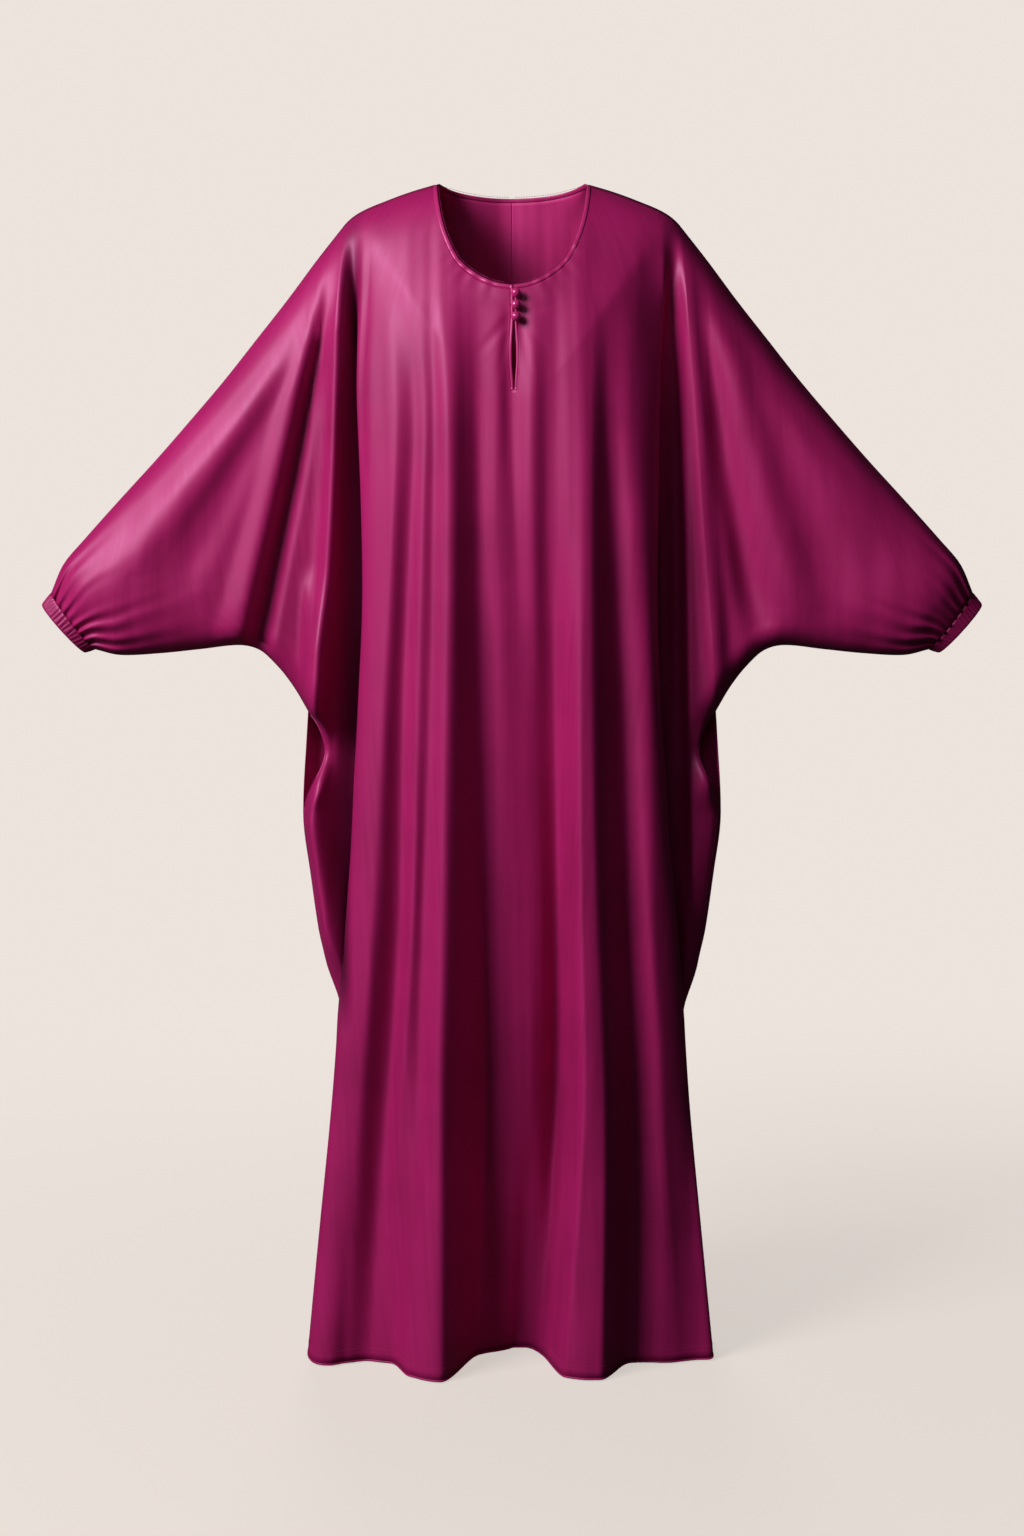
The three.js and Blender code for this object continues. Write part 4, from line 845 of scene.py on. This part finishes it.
def gloss(name, colour, roughness):
    material, tree = new_material(name)
    swirl = noise(tree, "Object", (420.0, 420.0, 420.0), 3.0)
    dark, light = ([part * share for part in colour] for share in (0.8, 1.2))
    set_inputs(tree.nodes["Principled BSDF"], {
        "Base Color": colour_ramp(tree, swirl, 0.0, dark, light),
        "Roughness": between(tree, swirl, roughness * 0.8, roughness * 1.3),
        "Coat Weight": 0.7,
        "Coat Roughness": 0.08,
    })
    return material


button_gloss = gloss("button_gloss", (0.56, 0.026, 0.19), 0.2)


def binding_face(hand, z):
    return on_cloth(front_depth, -1, np.array([binding_middle(hand, z)]), np.array([z]))[0]


for number, height in enumerate(BUTTON_HEIGHTS, start=1):
    foot = binding_face(LEFT, height)
    centre = foot + np.array([0, -(SHANK_LENGTH + BUTTON_RADIUS), 0])
    bpy.ops.mesh.primitive_uv_sphere_add(
        segments=40, ring_count=24, radius=BUTTON_RADIUS * MM, location=centre * MM,
        rotation=(math.radians(90), 0, 0),
    )
    button = bpy.context.active_object
    button.name = f"button_{number}_ball"
    bpy.ops.object.transform_apply(location=True, rotation=True, scale=True)
    bpy.ops.object.mode_set(mode="EDIT")
    bpy.ops.mesh.select_all(action="DESELECT")
    bpy.ops.object.mode_set(mode="OBJECT")
    reach = (centre[1] + BUTTON_RADIUS * SHANK_CAP) * MM
    for polygon in button.data.polygons:
        polygon.select = polygon.center.y > reach
    bpy.ops.object.mode_set(mode="EDIT")
    bpy.ops.mesh.extrude_region_move(
        TRANSFORM_OT_translate={"value": (0, (SHANK_LENGTH + SHANK_SUNK) * MM, 0)}
    )
    bpy.ops.object.mode_set(mode="OBJECT")
    bpy.ops.object.shade_smooth_by_angle(angle=math.radians(50))
    button.data.materials.append(button_gloss)
    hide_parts(f"button_{number}")
    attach(button, "root")

# Each button is held by a rouleau loop, a thin tube of satin turned right side out. Its two ends
# are sewn into the binding on the wearer's right edge, and it passes round the button's shank.
LOOP_RADIUS, LOOP_SLACK, LOOP_LIFT = 0.7, 0.6, 0.5
for number, height in enumerate(BUTTON_HEIGHTS, start=1):
    shank, root = binding_face(LEFT, height), binding_face(RIGHT, height)
    bend = SHANK_RADIUS + LOOP_SLACK + LOOP_RADIUS
    y = min(shank[1], root[1]) - LOOP_RADIUS - LOOP_LIFT
    angle = np.linspace(np.pi / 2, -np.pi / 2, 13)
    x = np.concatenate([[root[0] - 0.5], shank[0] + bend * np.cos(angle), [root[0] - 0.5]])
    z = np.concatenate([[height + bend], height + bend * np.sin(angle), [height - bend]])
    path = np.stack([x, 0 * x + y, z], -1)
    tangent = unit(np.gradient(path, axis=0))
    out = np.tile([0.0, -1.0, 0.0], (len(path), 1))
    loop = soft_strip(
        f"loop_{number}_rouleau", path, np.cross(out, tangent), out, 2 * LOOP_RADIUS,
        2 * LOOP_RADIUS, satin_binding, 8,
    )
    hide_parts(f"loop_{number}")
    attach(loop, "root")

# Each sleeve is gathered into a narrow cuff: a folded band of satin, shirred over elastic thread
# so that it stands in small uneven ribs, and sewn to the sleeve's end.
CUFF_WIDTH, CUFF_THICKNESS = 15.0, 2.0
CUFF_RIBS, CUFF_RIB_HEIGHT = 44, 1.0
CUFF_TAPER, CUFF_TILT, CUFF_CLEARANCE = 0.9, 2.6, 1.4
SHIRR_ROWS, SHIRR_DEPTH = 3, 0.14
OUTER_RINGS = (-0.06, 0.0, 0.08, 0.2, 0.34, 0.5, 0.66, 0.8, 0.92, 1.0, 1.03)
INNER_RINGS = (1.0, 0.66, 0.33, -0.04)
satin_cuff = satin("satin_cuff", (0.36, 0.011, 0.11), (0.27, 0.008, 0.08), 0.44, 1.3)
end_top, end_low = (np.array([x, 0, z], float) for x, z in SLEEVE_END)
for hand, node in ((LEFT, "cuff_left"), (RIGHT, "cuff_right")):
    mirror = np.array([hand, 1, 1])
    middle = (end_top + end_low) / 2 * mirror
    long = unit(end_top - end_low) * mirror
    axis = np.array([hand * long[2], 0, -abs(long[0])])
    half_long = np.linalg.norm(end_top - end_low) / 2
    half_deep = PUFF_HALF_DEPTH[0] + CUFF_CLEARANCE
    around = np.linspace(0, 2 * np.pi, CUFF_RIBS * 8, endpoint=False)
    random = np.random.default_rng(7 + hand)
    rib_lean = random.uniform(-0.5, 0.5, CUFF_RIBS)
    rib_size = random.uniform(0.7, 1.25, CUFF_RIBS)
    rib = (around / (2 * np.pi) * CUFF_RIBS).astype(int) % CUFF_RIBS
    rings = []
    for share in OUTER_RINGS:
        bulge = np.sin(np.pi * np.clip(share, 0, 1)) ** 0.5
        shirr = SHIRR_DEPTH * np.cos(share * 2 * np.pi * SHIRR_ROWS)
        wave = np.cos(around * CUFF_RIBS + rib_lean[rib] * share * 3) * rib_size[rib]
        inset = -CUFF_RIB_HEIGHT * (0.25 + 0.75 * bulge) * (wave * 0.5 + 0.2) + shirr
        if share in (OUTER_RINGS[0], OUTER_RINGS[-1]):
            inset = inset * 0.3 + 0.9
        rings.append((share, inset))
    rings += [(share, CUFF_THICKNESS) for share in INNER_RINGS]
    points = np.zeros((len(rings), len(around), 3))
    for ring, (share, inset) in zip(points, rings):
        taper = mix(1, CUFF_TAPER, share)
        a = (half_long * taper - inset) * np.cos(around)
        along = share * (CUFF_WIDTH + CUFF_TILT * np.cos(around))
        ring[:] = middle + a[:, None] * long + along[:, None] * axis
        ring[:, 1] = -(half_deep * taper - inset) * np.sin(around)
    index = np.arange(points.size // 3).reshape(len(rings), -1)
    index = np.hstack([index, index[:, :1]])
    index = np.vstack([index, index[:1]])
    ring_length = 2 * np.pi * (half_long + half_deep) / 2
    across, along = np.meshgrid(around / (2 * np.pi) * ring_length, np.arange(len(rings)) * 1.6)
    weave = np.stack([across.ravel(), along.ravel()], -1)
    faces = faces_of(index, hand == LEFT).tolist()
    cuff = mesh_object(f"{node}_shirred", points.reshape(-1, 3), faces, weave, [satin_cuff])
    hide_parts(node)
    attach(cuff, "root")

# The free edges of the front at the side openings, and the hem all round, are turned under twice,
# which leaves a narrow roll of cloth along each.
ROLL_WIDTH, ROLL_THICKNESS = 2.4, 1.7
OPENING_EDGE_INSET = 1.0
rolls = {"front": [], "back_left": [], "back_right": []}


def rolled_edge(name, depth, facing, x, z, across):
    line = on_cloth(depth, facing, x, z)
    out = outward_normal(depth, facing, x, z)
    across = square_to(out, np.tile(across, (len(z), 1)))
    roll = soft_strip(
        name, line - out * CLOTH / 2, across, out, ROLL_WIDTH, ROLL_THICKNESS, satin_face, 10
    )
    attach(roll, "root")
    return roll


def hem_line(x, above):
    return HEM_Z + above + hem_corner(x)


for hand, word in ((LEFT, "left"), (RIGHT, "right")):
    z = np.linspace(UNDERARM_POINT[1] - 4, OPENING_END_Z + 3, 60)
    x = hand * (opening_x(z) - OPENING_EDGE_INSET)
    rolls["front"].append(
        rolled_edge(f"opening_edge_{word}", front_depth, -1, x, z, (hand, 0, 0))
    )
x = np.linspace(-side_x(HEM_Z) + 2, side_x(HEM_Z) - 2, 260)
z = hem_line(x, ROLL_WIDTH / 2)
rolls["front"].append(rolled_edge("hem_roll_front", front_depth, -1, x, z, (0, 0, -1)))
for hand, word in ((LEFT, "left"), (RIGHT, "right")):
    x = hand * np.linspace(0.6, side_x(HEM_Z) - 2, 130)
    z = hem_line(x, ROLL_WIDTH / 2)
    rolls[f"back_{word}"].append(
        rolled_edge(f"hem_roll_{word}", back_depth, 1, x, z, (0, 0, -1))
    )

# The garment is sewn with a matching thread: one row below the neck binding, beside the slit,
# above the hem and beside the centre-back seam, and two rows down each side below the opening.
STITCH_PITCH, STITCH_LENGTH, STITCH_RADIUS = 3.3, 2.5, 0.26
STITCH_RINGS, STITCH_SWELL = (-0.5, -0.4, 0.0, 0.4, 0.5), (0.35, 0.9, 1.0, 0.9, 0.35)
STITCH_SIDES = 6
STITCH_PROUD = 0.1
HEM_TURN = 17.0
NECK_STITCH_INSET, SLIT_STITCH_INSET, CENTRE_STITCH_INSET = 1.6, 1.4, 3.0
SIDE_STITCH_INSETS = (4.0, 7.0)
thread = satin("thread", (0.50, 0.03, 0.18), (0.40, 0.02, 0.14), 0.42, 2.0)


def stitch_row(depth, facing, x, z):
    """Middles, directions and outward normals of the stitches along a line of the plan."""
    line = on_cloth(depth, facing, x, z)
    along = lengths_along(line)
    at = (np.arange(int(along[-1] / STITCH_PITCH)) + 0.5) * STITCH_PITCH
    ends = [
        on_cloth(depth, facing, np.interp(at + way, along, x), np.interp(at + way, along, z))
        for way in (-STITCH_LENGTH / 2, STITCH_LENGTH / 2)
    ]
    x, z = np.interp(at, along, x), np.interp(at, along, z)
    out = outward_normal(depth, facing, x, z)
    return on_cloth(depth, facing, x, z), unit(ends[1] - ends[0]), out


def stitches(name, rows):
    middle, ahead, out = (np.concatenate(part)[:, None, None] for part in zip(*rows))
    beside = np.cross(ahead, out)
    share = np.array(STITCH_RINGS) * STITCH_LENGTH
    swell = np.array(STITCH_SWELL)[:, None] * STITCH_RADIUS
    angle = np.linspace(0, 2 * np.pi, STITCH_SIDES, endpoint=False)
    points = (
        middle + ahead * share[:, None, None] + beside * (swell * np.cos(angle))[:, :, None]
        + out * (swell * np.sin(angle) + STITCH_PROUD)[:, :, None]
    )
    count, size = len(middle), len(share) * STITCH_SIDES
    index = np.arange(size).reshape(-1, STITCH_SIDES)
    one = faces_of(np.hstack([index, index[:, :1]]), False)
    faces = (one[None] + size * np.arange(count)[:, None, None]).reshape(-1, 4).tolist()
    for first in range(0, count * size, size):
        faces.append(list(range(first, first + STITCH_SIDES)))
        faces.append(list(range(first + size - 1, first + size - STITCH_SIDES - 1, -1)))
    along = np.tile(np.repeat(share, STITCH_SIDES), count)
    around = np.tile(angle * STITCH_RADIUS, len(share) * count)
    weave = np.stack([around, along], -1)
    obj = mesh_object(name, points.reshape(-1, 3), faces, weave, [thread], smooth=False)
    select_only(obj)
    bpy.ops.object.mode_set(mode="EDIT")
    bpy.ops.mesh.select_all(action="SELECT")
    bpy.ops.mesh.normals_make_consistent(inside=False)
    bpy.ops.object.mode_set(mode="OBJECT")
    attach(obj, "root")
    return obj


front_rows = []
for hand in (LEFT, RIGHT):
    x, z = neck_edge(FRONT_NECKLINE, np.linspace(0.02, 0.96, 80), -NECK_STITCH_INSET)
    front_rows.append(stitch_row(front_depth, -1, hand * x, z))
    z = np.linspace(SLIT_TOP_Z - 6, SLIT_BOTTOM_Z - 3, 40)
    bound = slit_half_width(z) + SLIT_BINDING_WIDTH * (1 - BINDING_OVER_EDGE)
    x = SLIT_X + hand * (bound + SLIT_STITCH_INSET)
    front_rows.append(stitch_row(front_depth, -1, x, z))
    for inset in SIDE_STITCH_INSETS:
        z = np.linspace(OPENING_END_Z - 4, HEM_Z + HEM_TURN, 160)
        front_rows.append(stitch_row(front_depth, -1, hand * (side_x(z) - inset), z))
x = np.linspace(-side_x(HEM_Z) + 4, side_x(HEM_Z) - 4, 300)
front_rows.append(stitch_row(front_depth, -1, x, hem_line(x, HEM_TURN)))
front_stitches = stitches("front_stitches", front_rows)
for hand, word in ((LEFT, "left"), (RIGHT, "right")):
    x, z = neck_edge(BACK_NECKLINE, np.linspace(0.02, 0.98, 60), -NECK_STITCH_INSET)
    rows = [stitch_row(back_depth, 1, hand * x, z)]
    x = hand * np.linspace(2, side_x(HEM_Z) - 4, 150)
    rows.append(stitch_row(back_depth, 1, x, hem_line(x, HEM_TURN)))
    z = np.linspace(BACK_NECKLINE[-1][1] - 8, HEM_Z + HEM_TURN, 300)
    rows.append(stitch_row(back_depth, 1, hand * (0 * z + CENTRE_STITCH_INSET), z))
    stitches(f"back_stitches_{word}", rows)

# The studio: a pale floor that fades out into the pale room, which itself gives little light.
# A large soft light stands high on the left in front, with a weak one near the camera. A third
# stands low behind, at the middle, and lights the back.
FLOOR_RADIUS, FADE_START, FADE_END = 9.0, 0.5, 2.6


def for_camera(tree, seen, unseen):
    """One shader that the camera sees, and another that lights the garment."""
    by_camera = tree.nodes.new("ShaderNodeLightPath").outputs["Is Camera Ray"]
    return add_node(tree, "ShaderNodeMixShader", {0: by_camera, 1: unseen, 2: seen}).outputs[0]


bpy.ops.mesh.primitive_circle_add(
    vertices=96, radius=FLOOR_RADIUS, fill_type="NGON", location=(0, 0, (HEM_Z - 2) * MM)
)
floor = bpy.context.active_object
floor.name = "floor"
bpy.ops.object.transform_apply(location=True)
floor_paint, tree = new_material("floor_paint")
paint = tree.nodes["Principled BSDF"]
set_inputs(paint, {"Base Color": (0.86, 0.80, 0.75, 1.0), "Roughness": 0.9})
dim = add_node(tree, "ShaderNodeBsdfDiffuse", {"Color": (0.10, 0.09, 0.085, 1.0)})
near = for_camera(tree, paint.outputs["BSDF"], dim.outputs["BSDF"])
far = tree.nodes.new("ShaderNodeBsdfTransparent").outputs["BSDF"]
place = tree.nodes.new("ShaderNodeTexCoord").outputs["Object"]
away = add_node(tree, "ShaderNodeVectorMath", {0: place}, operation="LENGTH").outputs["Value"]
inputs = {"Value": away, "From Min": FADE_START, "From Max": FADE_END, "To Min": 0.5}
fade = add_node(tree, "ShaderNodeMapRange", inputs, interpolation_type="SMOOTHSTEP")
blend = add_node(tree, "ShaderNodeMixShader", {0: fade.outputs["Result"], 1: near, 2: far})
set_inputs(tree.nodes["Material Output"], {"Surface": blend.outputs["Shader"]})
floor.data.materials.append(floor_paint)

world = bpy.data.worlds.new("room")
world.use_nodes = True
tree = world.node_tree
seen = tree.nodes["Background"]
set_inputs(seen, {"Color": (0.84, 0.77, 0.72, 1.0)})
inputs = {"Color": (1.0, 0.97, 0.94, 1.0), "Strength": 0.012}
fill = add_node(tree, "ShaderNodeBackground", inputs)
both = for_camera(tree, seen.outputs["Background"], fill.outputs["Background"])
set_inputs(tree.nodes["World Output"], {"Surface": both})
bpy.context.scene.world = world
bpy.context.scene.view_settings.view_transform = "Standard"
LIGHTS_AIM, LIGHT_COLOUR = (0, 0, -0.7), (1.0, 0.98, 0.96)


def soft_light(name, place, size, power):
    data = bpy.data.lights.new(name, "AREA")
    data.shape = "RECTANGLE"
    data.size, data.size_y = size
    data.energy = power
    data.color = LIGHT_COLOUR
    lamp = bpy.data.objects.new(name, data)
    lamp.location = place
    toward = [b - a for a, b in zip(place, LIGHTS_AIM)]
    flat = math.hypot(toward[0], toward[1])
    lamp.rotation_euler = (
        math.pi / 2 + math.atan2(toward[2], flat), 0.0, math.atan2(-toward[0], toward[1]),
    )
    bpy.context.scene.collection.objects.link(lamp)


soft_light("key", (-2.9, -2.5, 1.7), (1.9, 1.9), 200)
soft_light("front_fill", (-0.5, -3.2, 1.6), (1.4, 1.4), 6)
soft_light("back_key", (-0.3, 3.3, -0.3), (1.3, 1.0), 60)
